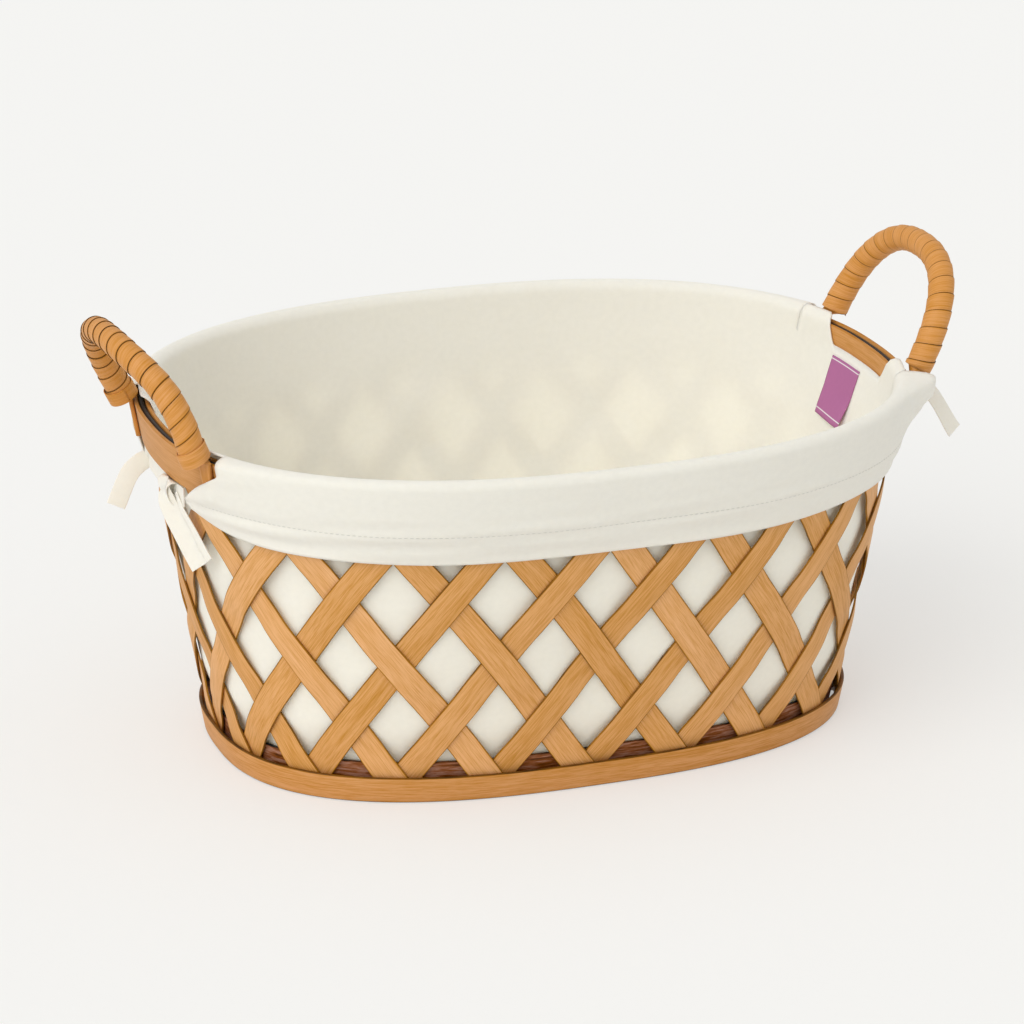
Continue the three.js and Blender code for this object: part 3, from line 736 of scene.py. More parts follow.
def plain_weave():
    """Cotton cloth: fine crossing threads, uneven yarn and soft cloudy tone."""
    name = "Plain weave"
    if name in bpy.data.node_groups:
        return bpy.data.node_groups[name]
    make, given, result = new_tree(
        name,
        SHADER,
        [
            ("Color", COLOUR, (0.8, 0.8, 0.75, 1)),
            ("Along", FLOAT, 0.0),
            ("Across", FLOAT, 0.0),
            ("Thread", FLOAT, 0.0006),
        ],
        [("Color", COLOUR, None), ("Roughness", FLOAT, None), ("Height", FLOAT, None)],
    )
    along, across = given.outputs["Along"], given.outputs["Across"]
    turns = make.math("DIVIDE", FULL_TURN, given.outputs["Thread"])
    warp = make.math("SINE", make.math("MULTIPLY", along, turns))
    weft = make.math("SINE", make.math("MULTIPLY", across, turns))
    cross = make.math("MULTIPLY", warp, weft)
    place = make.vector(along, across)
    slub, cloud = make.noise(place, SLUB_CELLS, 3.0), make.noise(place, CLOUD_CELLS, 2.0)
    soft = make.math("MULTIPLY_ADD", make.math("SUBTRACT", cloud, 0.5), CLOUD_TONE, 1.0)
    yarn = make.math("MULTIPLY_ADD", make.math("SUBTRACT", slub, 0.5), SLUB_TONE, soft)
    level = make.math("MULTIPLY_ADD", cross, THREAD_TONE, yarn)
    shade = make.node("ShaderNodeHueSaturation", {"Value": level, "Color": given.outputs["Color"]})
    rough = make.math("MULTIPLY_ADD", slub, CLOTH_ROUGH_SPREAD, CLOTH_ROUGH)
    height = make.math("MULTIPLY_ADD", cross, THREAD_RELIEF, slub)
    make.give(result, {"Color": shade.outputs[0], "Roughness": rough, "Height": height})
    return make.tree


def rgba(value):
    """A colour property as four numbers."""
    return (value[0], value[1], value[2], 1.0)


def new_material(name):
    """A material with its Principled shader and a short-call tree."""
    material = bpy.data.materials.new(name)
    material.use_nodes = True
    make = Tree(material.node_tree)
    return material, make, material.node_tree.nodes["Principled BSDF"]


def set_inputs(node, values):
    """Sets a node's named inputs to plain values."""
    for key, value in values.items():
        node.inputs[key].default_value = value


def finish_material(make, shader, group, bump, distance):
    """Joins a group's colour, roughness and height to the shader."""
    raised = make.node(
        "ShaderNodeBump", {"Strength": bump, "Distance": distance, "Height": group.outputs["Height"]}
    )
    make.give(
        shader,
        {
            "Base Color": group.outputs["Color"],
            "Roughness": group.outputs["Roughness"],
            "Normal": raised.outputs[0],
        },
    )


def values_of(make, *names):
    """The mesh values a material reads."""
    return {x.capitalize(): make.node("ShaderNodeAttribute", attribute_name=x).outputs["Fac"] for x in names}


# Strength of the grain, spread of tone from piece to piece, darkness of the painted edge shade, grain cells per metre
WoodLook = namedtuple("WoodLook", "fibre spread edge_dark grain", defaults=(1500.0,))
STRIP_LOOK = WoodLook(0.85, 0.16, 0.62)
RIM_BAND_LOOK = WoodLook(0.6, 0.2, 0.12)
BASE_BAND_LOOK = WoodLook(0.85, 0.2, 0.75)
HOOP_LOOK = WoodLook(3.8, 0.2, 0.7, grain=560.0)
REED_LOOK = WoodLook(1.0, 0.2, 0.0)
PLAIN_LOOK = WoodLook(0.5, 0.2, 0.0)
RIBBON_LOOK = WoodLook(0.6, 0.3, 0.8)


def wood_material(name, tint, half_width, look, flat_board=False):
    """Planed splint wood with its grain along the piece, or along X on a flat board."""
    if name in bpy.data.materials:
        return bpy.data.materials[name]
    material, make, shader = new_material(name)
    if flat_board:
        place = make.node("ShaderNodeTexCoord").outputs["Object"]
        parts = make.node("ShaderNodeSeparateXYZ", {0: place})
        values = {"Along": parts.outputs["X"], "Across": parts.outputs["Y"]}
    else:
        values = values_of(make, "along", "across", "tone")
    values |= {
        "Color": rgba(tint),
        "Fibre": look.fibre,
        "Grain": look.grain,
        "Tone Spread": look.spread,
        "Half Width": half_width,
        "Edge Dark": look.edge_dark,
    }
    group = make.node("ShaderNodeGroup", values, node_tree=splint_grain())
    set_inputs(shader, {"Specular IOR Level": WOOD_SHINE})
    finish_material(make, shader, group, bump=0.25, distance=0.2 * MM)
    return material


def cloth_material(name, tint, thread=0.7 * MM):
    """Cotton that lets a little light through, so that what lies behind it shows faintly."""
    if name in bpy.data.materials:
        return bpy.data.materials[name]
    material, make, shader = new_material(name)
    values = values_of(make, "along", "across") | {"Color": rgba(tint), "Thread": thread}
    group = make.node("ShaderNodeGroup", values, node_tree=plain_weave())
    set_inputs(
        shader,
        {
            "Specular IOR Level": 0.15,
            "Sheen Weight": 0.15,
            "Subsurface Weight": 0.5,
            "Subsurface Radius": (1.0, 0.95, 0.85),
            "Subsurface Scale": 2 * MM,
        },
    )
    finish_material(make, shader, group, bump=0.18, distance=0.3 * MM)
    return material


# Operators


def basket_sizes():
    """The scene's sizes, its colours and its wall."""
    scene = bpy.context.scene
    return scene.basket_sizes, scene.basket_finish, OvalWall(scene.basket_sizes)


class BASKET_OT_stage(bpy.types.Operator):
    """Sets the floor, the studio light and the camera"""

    bl_idname = "basket.stage"
    bl_label = "Stage"

    # The camera, the floor and the even tone mixed into it, the surround and the sun
    CAMERA_PLACE = (-0.85864, -2.39131, 1.04268)
    CAMERA_TURN = (1.226617, 0.001295, -0.342442)
    CAMERA_LENS, CAMERA_SENSOR = 150.337, 36
    CAMERA_NEAR, CAMERA_FAR = 0.05, 60
    FLOOR_REACH, FLOOR_POINTS, FLOOR_DEPTH = 9, 25, 0.4 * MM
    FLOOR_TINT = (0.90, 0.90, 0.89, 1)
    EVEN_TINT, EVEN_SHARE = (0.992, 0.987, 0.962, 1), 0.42
    SURROUND_TINT, SURROUND_STRENGTH = (1.0, 0.997, 0.985, 1), 0.70
    SUN_WAY, SUN_SPREAD, SUN_STRENGTH = (0.72, 0.50, -0.72), math.radians(50), 1.25

    def execute(self, context):
        scene = context.scene
        scene.view_settings.view_transform = "Standard"
        self.floor()
        self.lights(scene)
        camera_data = bpy.data.cameras.new("camera")
        camera = bpy.data.objects.new("camera", camera_data)
        scene.collection.objects.link(camera)
        camera.location, camera.rotation_euler = self.CAMERA_PLACE, self.CAMERA_TURN
        camera_data.lens, camera_data.sensor_width = self.CAMERA_LENS, self.CAMERA_SENSOR
        camera_data.clip_start, camera_data.clip_end = self.CAMERA_NEAR, self.CAMERA_FAR
        scene.camera = camera
        return {"FINISHED"}

    def floor(self):
        """A wide pale floor that keeps a soft shadow and shows an even light tone to the camera."""
        steps = np.linspace(-self.FLOOR_REACH, self.FLOOR_REACH, self.FLOOR_POINTS)
        x, y = np.meshgrid(steps, steps, indexing="ij")
        points = np.stack([x, y, 0 * x - self.FLOOR_DEPTH], -1)
        material, make, shader = new_material("floor")
        set_inputs(shader, {"Base Color": self.FLOOR_TINT, "Roughness": 0.9, "Specular IOR Level": 0.1})
        path = make.node("ShaderNodeLightPath")
        seen = make.math("ADD", path.outputs["Is Camera Ray"], path.outputs["Is Glossy Ray"], clamp=True)
        seen = make.math("ADD", seen, path.outputs["Is Transmission Ray"], clamp=True)
        even = make.node("ShaderNodeEmission", {"Color": self.EVEN_TINT, "Strength": 1.0})
        share = make.math("MULTIPLY", seen, self.EVEN_SHARE)
        mixed = make.node("ShaderNodeMixShader", {0: share, 1: shader.outputs[0], 2: even.outputs[0]})
        make.give(material.node_tree.nodes["Material Output"], {"Surface": mixed.outputs[0]})
        faces = grid_faces(self.FLOOR_POINTS, self.FLOOR_POINTS)
        floor = new_piece("floor", points, faces, material, closed=False)
        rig.stage(floor)

    def lights(self, scene):
        """A white surround and one broad soft sun from the upper left."""
        world = bpy.data.worlds.new("surround")
        world.use_nodes = True
        background = world.node_tree.nodes["Background"]
        set_inputs(background, {"Color": self.SURROUND_TINT, "Strength": self.SURROUND_STRENGTH})
        scene.world = world
        data = bpy.data.lights.new("soft_sun", "SUN")
        data.angle, data.energy = self.SUN_SPREAD, self.SUN_STRENGTH
        lamp = bpy.data.objects.new("soft_sun", data)
        lamp.rotation_euler = Vector(self.SUN_WAY).to_track_quat("-Z", "Y").to_euler()
        scene.collection.objects.link(lamp)


class BASKET_OT_woven_wall(bpy.types.Operator):
    """Weaves the diagonal splint strips of the wall"""

    bl_idname = "basket.woven_wall"
    bl_label = "Woven wall"

    # Where a strip's line starts above the floor and stops below the rim, and its points
    FOOT, HEAD, POINTS = 9 * MM, 14 * MM, 90
    # How far a strip wanders, in strip spacings, its waves for each row, and how sharply it bends
    WANDER, WANDER_WAVES, BEND = 0.012, 0.31, 2.4
    EDGE_SHARE, FIRST_SEED = 0.35, 100

    def execute(self, context):
        sizes, finish, wall = basket_sizes()
        material = wood_material("planed_splint", finish.splint, sizes.strip_width / 2, STRIP_LOOK)
        for side, way in (("right", 1), ("left", -1)):
            lines = [self.strip_line(wall, sizes, i, way) for i in range(sizes.strips)]
            piece = line_piece(
                f"woven_strips_{side}",
                lines,
                splint_sweep(),
                {
                    "Width": sizes.strip_width,
                    "Thickness": sizes.strip_thickness,
                    "Edge Radius": sizes.strip_thickness * self.EDGE_SHARE,
                    "Material": material,
                },
            )
            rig.ride(piece, "basket")
            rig.replaces(piece, *(f"strip_{side}_{i + 1:02d}" for i in range(sizes.strips)))
            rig.slot(piece, "splint")
        return {"FINISHED"}

    def strip_line(self, wall, sizes, index, way):
        """The middle line of one strip, passing over and under by turns."""
        rng = np.random.default_rng(self.FIRST_SEED + index * 2 + (way > 0))
        heights = np.linspace(self.FOOT, sizes.wall_height - self.HEAD, self.POINTS)
        rows = (heights - sizes.first_row) / sizes.row_pitch
        wander = self.WANDER * np.sin(FULL_TURN * (rows * self.WANDER_WAVES + rng.uniform()))
        turn = (index + sizes.strip_phase + wander + way * rows / 2) / sizes.strips
        lift = np.tanh(self.BEND * np.cos(math.pi * rows)) / math.tanh(self.BEND)
        points = wall.point(turn, heights, -way * lift * sizes.weave_offset)
        along = run_lengths(points)
        tone = np.full(len(along), rng.uniform())
        return points, {"facing": wall.normal(turn, heights), "along": along, "tone": tone}


class BASKET_OT_bands(bpy.types.Operator):
    """Bends the rim and base bands and the dark hoop, each with lapped ends, and finishes the board"""

    bl_idname = "basket.bands"
    bl_label = "Bands and board"

    RIM_HALF_WIDTH = 13 * MM
    # Share of the girth over which a band's ends lap, rounding of its edges, and points along it
    LAP, CORNER, POINTS = 0.032, 0.7 * MM, 380
    REED_HEIGHT, REED_DEPTH, REED_CORNER = 4.4 * MM, 3.2 * MM, 1.4 * MM
    REED_DROP, REED_POINTS = 2.8 * MM, 300

    def execute(self, context):
        sizes, finish, wall = basket_sizes()
        seat = sizes.band_seat
        inside = -seat - sizes.band_thickness
        wood = wood_material("planed_band", finish.band, self.RIM_HALF_WIDTH, RIM_BAND_LOOK)
        low_wood = wood_material("planed_base_band", finish.band, BASE_TOP / 2, BASE_BAND_LOOK)
        stain = wood_material("stained_hoop", finish.hoop, HOOP_TOP / 2, HOOP_LOOK)
        for name, node, bottom, top, inner, material, lap, slot in (
            ("base_band", "base_outer_band", 0.0, BASE_TOP, seat, low_wood, 0.29, "band"),
            ("base_hoop", "base_inner_hoop", 0.0, HOOP_TOP, inside, stain, 0.21, "dark_hoop"),
            ("rim_band_outside", "rim_outer_band", RIM_BOTTOM, RIM_TOP, seat, wood, 0.31, "band"),
            ("rim_band_inside", "rim_inner_band", RIM_BOTTOM, RIM_TOP, inside, wood, 0.18, "band"),
        ):
            piece = self.lapped_band(wall, sizes, name, bottom, top, inner, material, lap)
            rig.ride(piece, "basket")
            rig.replaces(piece, node)
            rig.slot(piece, slot)
        # The reed is near black so that it also carries the slit's painted shade
        reed = wood_material("dark_reed", finish.filler, self.REED_HEIGHT / 2, REED_LOOK)
        filler = self.filler(wall, sizes, reed)
        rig.ride(filler, "basket")
        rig.slot(filler, "dark_hoop")
        plywood = wood_material("base_plywood", finish.board, 1.0, PLAIN_LOOK, flat_board=True)
        board = frame["nodes"]["base_board"]
        board.data.materials.clear()
        board.data.materials.append(plywood)
        return {"FINISHED"}

    def lapped_band(self, wall, sizes, name, bottom, top, inner, material, lap_turn):
        """One band from end to end, its last stretch thinned and lying on its first."""
        thick, lap = sizes.band_thickness, self.LAP
        section = rounded_section(top - bottom, thick, self.CORNER)
        runs = np.linspace(0, 1 + lap, self.POINTS)
        first = np.clip(runs / lap, 0, 1)
        last = np.clip((runs - 1) / lap, 0, 1)
        near = smooth_step((runs - 1 + lap * 0.6) / (lap * 0.6))
        # Share of the full thickness, and how far the last stretch is lifted onto the first
        share = (0.3 + 0.68 * first) * (1 - 0.66 * last)
        base = thick * near * (0.32 + 0.68 * last)
        outs = inner + base[:, None] + (section[:, 1] + thick / 2)[None, :] * share[:, None]
        heights = (top + bottom) / 2 + section[:, 0][None, :] + 0 * outs
        points = wall.point(lap_turn + runs[:, None] + 0 * outs, heights, outs)
        columns = len(section)
        values = {
            "along": np.repeat(runs * wall.perimeter, columns),
            "across": np.tile(section[:, 0], len(runs)),
            "tone": np.full(len(runs) * columns, 0.5),
        }
        return new_piece(name, points, tube_faces(len(runs), columns), material, values)

    def filler(self, wall, sizes, material):
        """The dark reed in the slit between the two rim bands, above the ends of the strips, coloured near black so
        that it also carries the painted shade deep in the slit.
        """
        section = rounded_section(self.REED_HEIGHT, self.REED_DEPTH, self.REED_CORNER)
        turns = np.arange(self.REED_POINTS) / self.REED_POINTS
        level = sizes.wall_height - self.REED_DROP
        turn, height = np.meshgrid(turns, level + section[:, 0], indexing="ij")
        points = wall.point(turn, height, section[:, 1][None, :] + 0 * turn)
        values = {
            "along": turn * wall.perimeter,
            "across": np.tile(section[:, 0], len(turns)),
            "tone": np.full(turn.size, 0.3),
        }
        faces = grid_faces(len(turns), len(section), close_rows=True, close_columns=True)
        return new_piece("rim_filler", points, faces, material, values)


class HandlePath:
    """The arch of a handle at the +X end, by length from its leg on the -Y side. The other leg may bow in."""

    POINTS = 721
    # The bow's middle, its reach and its end at the foot, on a scale of -1 to 1 from foot to foot
    BOW_MIDDLE, BOW_REACH, BOW_END = 0.6, 0.32, 0.16

    def __init__(self, wall, sizes, off_centre, bow):
        sides = np.array([-1, 1]) * sizes.handle_span / 2
        self.leg_turns = wall.end_turn(off_centre + sides, sizes.wall_height)
        first, last = wall.point(self.leg_turns, sizes.wall_height, np.zeros(2))
        half_span = np.linalg.norm(last - first) / 2
        across = (last - first) / half_span / 2
        up = np.array([0.0, 0.0, 1.0])
        level = np.cross(across, up)
        lean = sizes.handle_lean
        self.rise_way = level * math.sin(lean) + up * math.cos(lean)
        self.out_way = level * math.cos(lean) - up * math.sin(lean)
        angle = np.linspace(0, math.pi, self.POINTS)[:, None]
        power = 2 / sizes.handle_power
        middle = (first + last) / 2 + level * sizes.handle_out
        aside = -half_span * signed_power(np.cos(angle), power) * across
        rise = sizes.handle_rise * signed_power(np.sin(angle), power) * self.rise_way
        share = (angle / math.pi - 0.5) * 2
        bent = fall_off(share - self.BOW_MIDDLE, self.BOW_REACH) * smooth_step((1 - share) / self.BOW_END)
        self.points = middle + aside + rise - bow * bent * level
        self.lengths = run_lengths(self.points)
        self.length = self.lengths[-1]

    def centre(self, length):
        """Point on the arch, going straight on past its feet."""
        inside = np.clip(length, 0, self.length)
        point = np.stack([np.interp(inside, self.lengths, self.points[:, i]) for i in range(3)], -1)
        past = np.minimum(length, 0) - np.maximum(length - self.length, 0)
        return point + past[..., None] * self.rise_way

    def place(self, length, angle, radius):
        """Point at an angle round the rod."""
        step = 0.8 * MM
        tangent = unit(self.centre(length + step) - self.centre(length - step))
        away = unit(np.cross(self.out_way, tangent))
        spread = np.cos(angle)[..., None] * away + np.sin(angle)[..., None] * self.out_way
        return self.centre(length) + spread * np.asarray(radius)[..., None]


def half_turned(points, left):
    """Points of the +X end, or the same points turned half round for the other end."""
    return points * np.array([-1, -1, 1]) if left else points


class BASKET_OT_handles(bpy.types.Operator):
    """Makes the two bent rods and winds their splint ribbons"""

    bl_idname = "basket.handles"
    bl_label = "Handles"

    LEFT_BOW = 6.0 * MM
    # Sides of the rod, where it is round above its feet, and the rings of its tongues and its arch
    SIDES, ROD_FOOT, TONGUE_RINGS, ARCH_RINGS = 24, 4 * MM, 9, 60
    # How far a tongue goes on above the rim, its gap to the band, and its squareness
    TONGUE_RISE, TONGUE_GAP, TONGUE_POWER = 1.5 * MM, 0.3 * MM, 0.5
    ROD_WIDTH = 30 * MM
    # Where the ribbon starts above a foot, its points in each turn and past each end
    RIBBON_FOOT, TURN_POINTS, END_POINTS = 3.6 * MM, 40, 14
    # Width of the ribbon in pitches, and rise of its edge in thicknesses, so that the turns lap
    RIBBON_WIDTH, RIBBON_RISE, RIBBON_GAP = 1.08, 1.15, 0.5 * MM
    RIBBON_ACROSS = np.array([-0.5, -0.49, -0.46, -0.25, 0, 0.25, 0.46, 0.49, 0.5])
    RIBBON_ROUND = np.array([0.5, 0.9, 1, 1.04, 1.06, 1.04, 1, 0.9, 0.5])
    # How far the turns wander along the rod, and how the wrap swells towards its feet
    WANDER, SWELL, SWELL_REACH = 0.6, 0.5 * MM, 30 * MM
    # Place of a collar above its foot, half its width, its turns and its points
    COLLAR_FOOT, COLLAR_HALF, COLLAR_TURNS, COLLAR_POINTS = 7 * MM, 4.8 * MM, 1.16, 52

    def execute(self, context):
        sizes, finish, wall = basket_sizes()
        for side, left in (("right", False), ("left", True)):
            shift, bow = (sizes.handle_shift, self.LEFT_BOW) if left else (0.0, 0.0)
            path = HandlePath(wall, sizes, shift, bow)
            rod = self.rod(wall, path, sizes, finish, side, left)
            ribbon = self.ribbon(path, sizes, finish, side, left)
            for piece, node, slot in ((rod, "handle_core", "rod"), (ribbon, "handle_wrap", "wrap")):
                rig.ride(piece, "basket")
                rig.replaces(piece, f"{node}_{side}")
                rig.slot(piece, slot)
        return {"FINISHED"}

    def rod(self, wall, path, sizes, finish, side, left):
        """The rod and its two flattened ends, which lie on the outer rim band."""
        sides, foot = self.SIDES, self.ROD_FOOT
        angles = np.linspace(0, FULL_TURN, sides, endpoint=False)

        def ring(at):
            """One round of the rod at a length."""
            return path.place(np.full(sides, at), angles, np.full(sides, sizes.core_radius))

        thick = sizes.tongue_thickness / 2
        seat = sizes.band_seat + sizes.band_thickness + self.TONGUE_GAP + thick
        legs = []
        for end, turn in zip((-1, 1), path.leg_turns):
            outward = wall.outward(turn, sizes.wall_height)
            aside = np.cross([0, 0, 1], outward)
            if aside[1] * end < 0:
                aside = -aside
            leg = []
            for share in np.linspace(0, 1, self.TONGUE_RINGS):
                height = sizes.wall_height - sizes.tongue_length * (1 - share) + self.TONGUE_RISE * share
                round_off = 1 - 0.45 * (1 - smooth_step(share / 0.25)) ** 2
                wide = sizes.tongue_width / 2 * (0.72 + 0.42 * share) * round_off
                leg.append(
                    wall.point(turn, height, seat)
                    + (wide * signed_power(np.cos(angles), self.TONGUE_POWER))[:, None] * aside
                    + (thick * signed_power(np.sin(angles), self.TONGUE_POWER))[:, None] * outward
                )
            flat, full = leg[-1], ring(foot if end < 0 else path.length - foot)
            leg.extend(flat + (full - flat) * smooth_step(share) for share in (0.25, 0.5, 0.75))
            legs.append(leg)
        arch = [ring(at) for at in np.linspace(foot, path.length - foot, self.ARCH_RINGS)]
        stack = np.array([*legs[0], *arch, *legs[1][::-1]])
        values = {
            "along": np.repeat(run_lengths(stack.mean(1)), sides),
            "across": np.tile(sizes.core_radius * np.sin(angles), len(stack)),
            "tone": np.full(stack.shape[0] * sides, 0.35),
        }
        material = wood_material("bent_rod", finish.ribbon, self.ROD_WIDTH, PLAIN_LOOK)
        points, faces = half_turned(stack, left), tube_faces(len(stack), sides)
        return new_piece(f"handle_rod_{side}", points, faces, material, values)

    def ribbon(self, path, sizes, finish, side, left):
        """One ribbon wound from foot to foot, its turns lapped like shingles, with collars on the left."""
        foot, thick = self.RIBBON_FOOT, sizes.wrap_thickness
        pitch = (path.length - 2 * foot) / sizes.wrap_turns
        wide, rise = pitch * self.RIBBON_WIDTH, thick * self.RIBBON_RISE
        bore = sizes.core_radius + self.RIBBON_GAP
        across, round_off = self.RIBBON_ACROSS, self.RIBBON_ROUND
        both_faces = np.concatenate([across, across[::-1]])
        section_s = both_faces * wide
        lower = bore + rise * (across + 0.5)
        section_r = np.concatenate([lower, (lower + thick * round_off)[::-1]])
        last = sizes.wrap_turns * self.TURN_POINTS + self.END_POINTS
        turns = np.arange(-self.END_POINTS, last + 1) / self.TURN_POINTS
        middles = foot + pitch * turns
        rng = np.random.default_rng(7 if left else 5)
        knots = np.arange(sizes.wrap_turns + 2)
        wander = np.interp(turns, knots, rng.uniform(-self.WANDER, self.WANDER, len(knots))) * MM
        from_foot = np.clip(np.minimum(middles, path.length - middles), 0, 1)
        swell = self.SWELL * np.exp(-from_foot / self.SWELL_REACH)
        lengths = middles[:, None] + wander[:, None] + section_s[None, :]
        lengths = np.clip(lengths, foot, path.length - foot)
        radii = section_r[None, :] + swell[:, None]
        angle = FULL_TURN * turns[:, None] + 0 * lengths
        points, faces, values = [], [], {"along": [], "across": [], "tone": []}

        def add(block, along, aside, tone):
            """Adds one length of ribbon, facing out."""
            rings, columns = block.shape[:2]
            made = tube_faces(rings, columns)
            flat = block.reshape(-1, 3)
            if enclosed_volume(flat, made) < 0:
                made = [face[::-1] for face in made]
            faces.extend(moved_on(made, sum(len(x) for x in points)))
            points.append(flat)
            values["along"].append(np.repeat(along, columns))
            values["across"].append(np.tile(aside, rings))
            values["tone"].append(np.full(len(flat), tone))

        add(path.place(lengths, angle, radii), turns * FULL_TURN * bore, section_s, 0.45)
        collars = ((self.COLLAR_FOOT, 2.2, 0.3), (path.length - self.COLLAR_FOOT, 0.6, 0.62))
        for at, start_angle, tone in collars if left else ():
            bends = np.linspace(0, self.COLLAR_TURNS, self.COLLAR_POINTS)
            collar_s = both_faces * 2 * self.COLLAR_HALF
            collar_r = np.concatenate([0 * across, thick * round_off[::-1]])
            seat = bore + rise + thick * 0.85 + self.SWELL
            base = seat + thick * 1.1 * smooth_step(bends - 0.1)
            block = path.place(
                at + collar_s[None, :] + 0 * base[:, None],
                start_angle + FULL_TURN * bends[:, None] + 0 * collar_s[None, :],
                base[:, None] + collar_r[None, :],
            )
            add(block, bends * FULL_TURN * bore, collar_s, tone)
        material = wood_material("wound_ribbon", finish.ribbon, wide / 2, RIBBON_LOOK)
        joined = {key: np.concatenate(value) for key, value in values.items()}
        stack = half_turned(np.concatenate(points), left)
        return new_piece(f"handle_ribbon_{side}", stack, faces, material, joined, closed=False)


class LinerShape:
    """Where the liner's cloth lies: inside the wall, over the rim and down outside it."""

    # The cloth's seat where it hangs free, and the lengths over which it leaves the hoop and nears the rim
    FREE_SEAT, LOW_EASE, HIGH_EASE, RIM_CLEARANCE = 2.4 * MM, 26 * MM, 90 * MM, 0.4 * MM
    # Slack all round, and the further slack at the +X end with its lengths from the top and from the hoop
    SLACK, END_SLACK, END_TOP, END_LOW, END_REACH = 1.5 * MM, 7.0 * MM, 46 * MM, 90 * MM, 0.05
    # Points of the cuff's rise, fold and drop, its bulge, and its seat at the hem
    RISE_POINTS, FOLD_POINTS, DROP_POINTS = 6, 17, 36
    BULGE, HEM_SEAT = 1.1 * MM, 2.9 * MM

    def __init__(self, wall, sizes):
        self.wall, self.sizes = wall, sizes
        self.top = sizes.wall_height - sizes.end_drop
        self.hem = sizes.wall_height - sizes.cuff_drop
        self.gap = sizes.handle_span / 2 + LEG_ROOM

    def inside(self, height):
        """Middle of the cloth inside the wall: tucked in at the hoop and at the rim band."""
        seat, free = -self.sizes.cloth_seat, -self.FREE_SEAT
        low = smooth_step((height - HOOP_TOP) / self.LOW_EASE)
        high = smooth_step((RIM_BOTTOM - self.RIM_CLEARANCE - height) / self.HIGH_EASE)
        return seat + (free - seat) * np.minimum(low, high)

    def hung(self, turn, height):
        """Middle of the cloth inside the wall, with the slack that it hangs in, most of it at the +X end."""
        loose = 0.5 + 0.5 * soft_noise(turn, height / 0.8, seed=3, waves=16, low=6, high=20)
        depth = np.clip((self.top - height) / self.END_TOP, 0, 1)
        low = smooth_step((height - HOOP_TOP) / self.END_LOW)
        end = np.exp((np.cos(FULL_TURN * turn) - 1) / self.END_REACH) * depth * low
        slack = np.sin(math.pi * np.clip((height - HOOP_TOP) / (self.top - HOOP_TOP), 0, 1))
        return self.inside(height) - self.SLACK * slack * np.clip(loose, 0, 1.4) - self.END_SLACK * end

    def cuff_line(self):
        """Heights and outs of the cuff from the liner's top edge over the fold to the hem."""
        sizes = self.sizes
        seat, rim = sizes.cloth_seat, sizes.wall_height
        angles = np.linspace(math.pi, 0, self.FOLD_POINTS)
        fold = [(rim + seat * math.sin(a), seat * math.cos(a)) for a in angles]
        down = np.linspace(0, 1, self.DROP_POINTS)[1:]
        height = rim - down * sizes.cuff_drop
        lean = smooth_step((RIM_BOTTOM - height) / (RIM_BOTTOM - self.hem))
        bulge = self.BULGE * np.sin(math.pi * np.clip(down * 1.15, 0, 1))
        out = seat + bulge + (self.HEM_SEAT - seat) * lean
        up = np.linspace(self.top, rim, self.RISE_POINTS)[1:-1]
        line = [(h, -seat) for h in up] + fold + list(zip(height, out))
        return np.array(line)

    def corners(self, cuff):
        """For the first and last corner of the back cuff or the front cuff: how far its handle's leg
        lies off centre, how far the cloth stands out there, and the height from which its edge slants."""
        shift, rim = self.sizes.handle_shift, self.sizes.wall_height
        if cuff == 0:
            return (0.0, 3 * MM, RIM_BOTTOM), (-shift, 1 * MM, RIM_BOTTOM)
        return (shift, 3 * MM, rim - 5 * MM), (0.0, 14 * MM, rim - 8 * MM)

    def end_gap(self, height, out, corner):
        """Half the gap that a cuff leaves at the end: its edge slants from the leg down to the tie."""
        sizes = self.sizes
        shift, _, slant_top = corner
        levels = [self.hem, sizes.tape_height, slant_top]
        full = self.gap + shift
        gap = np.interp(height, levels, [sizes.hem_gap, sizes.tie_gap, full])
        return np.where(out < 0, full, gap)


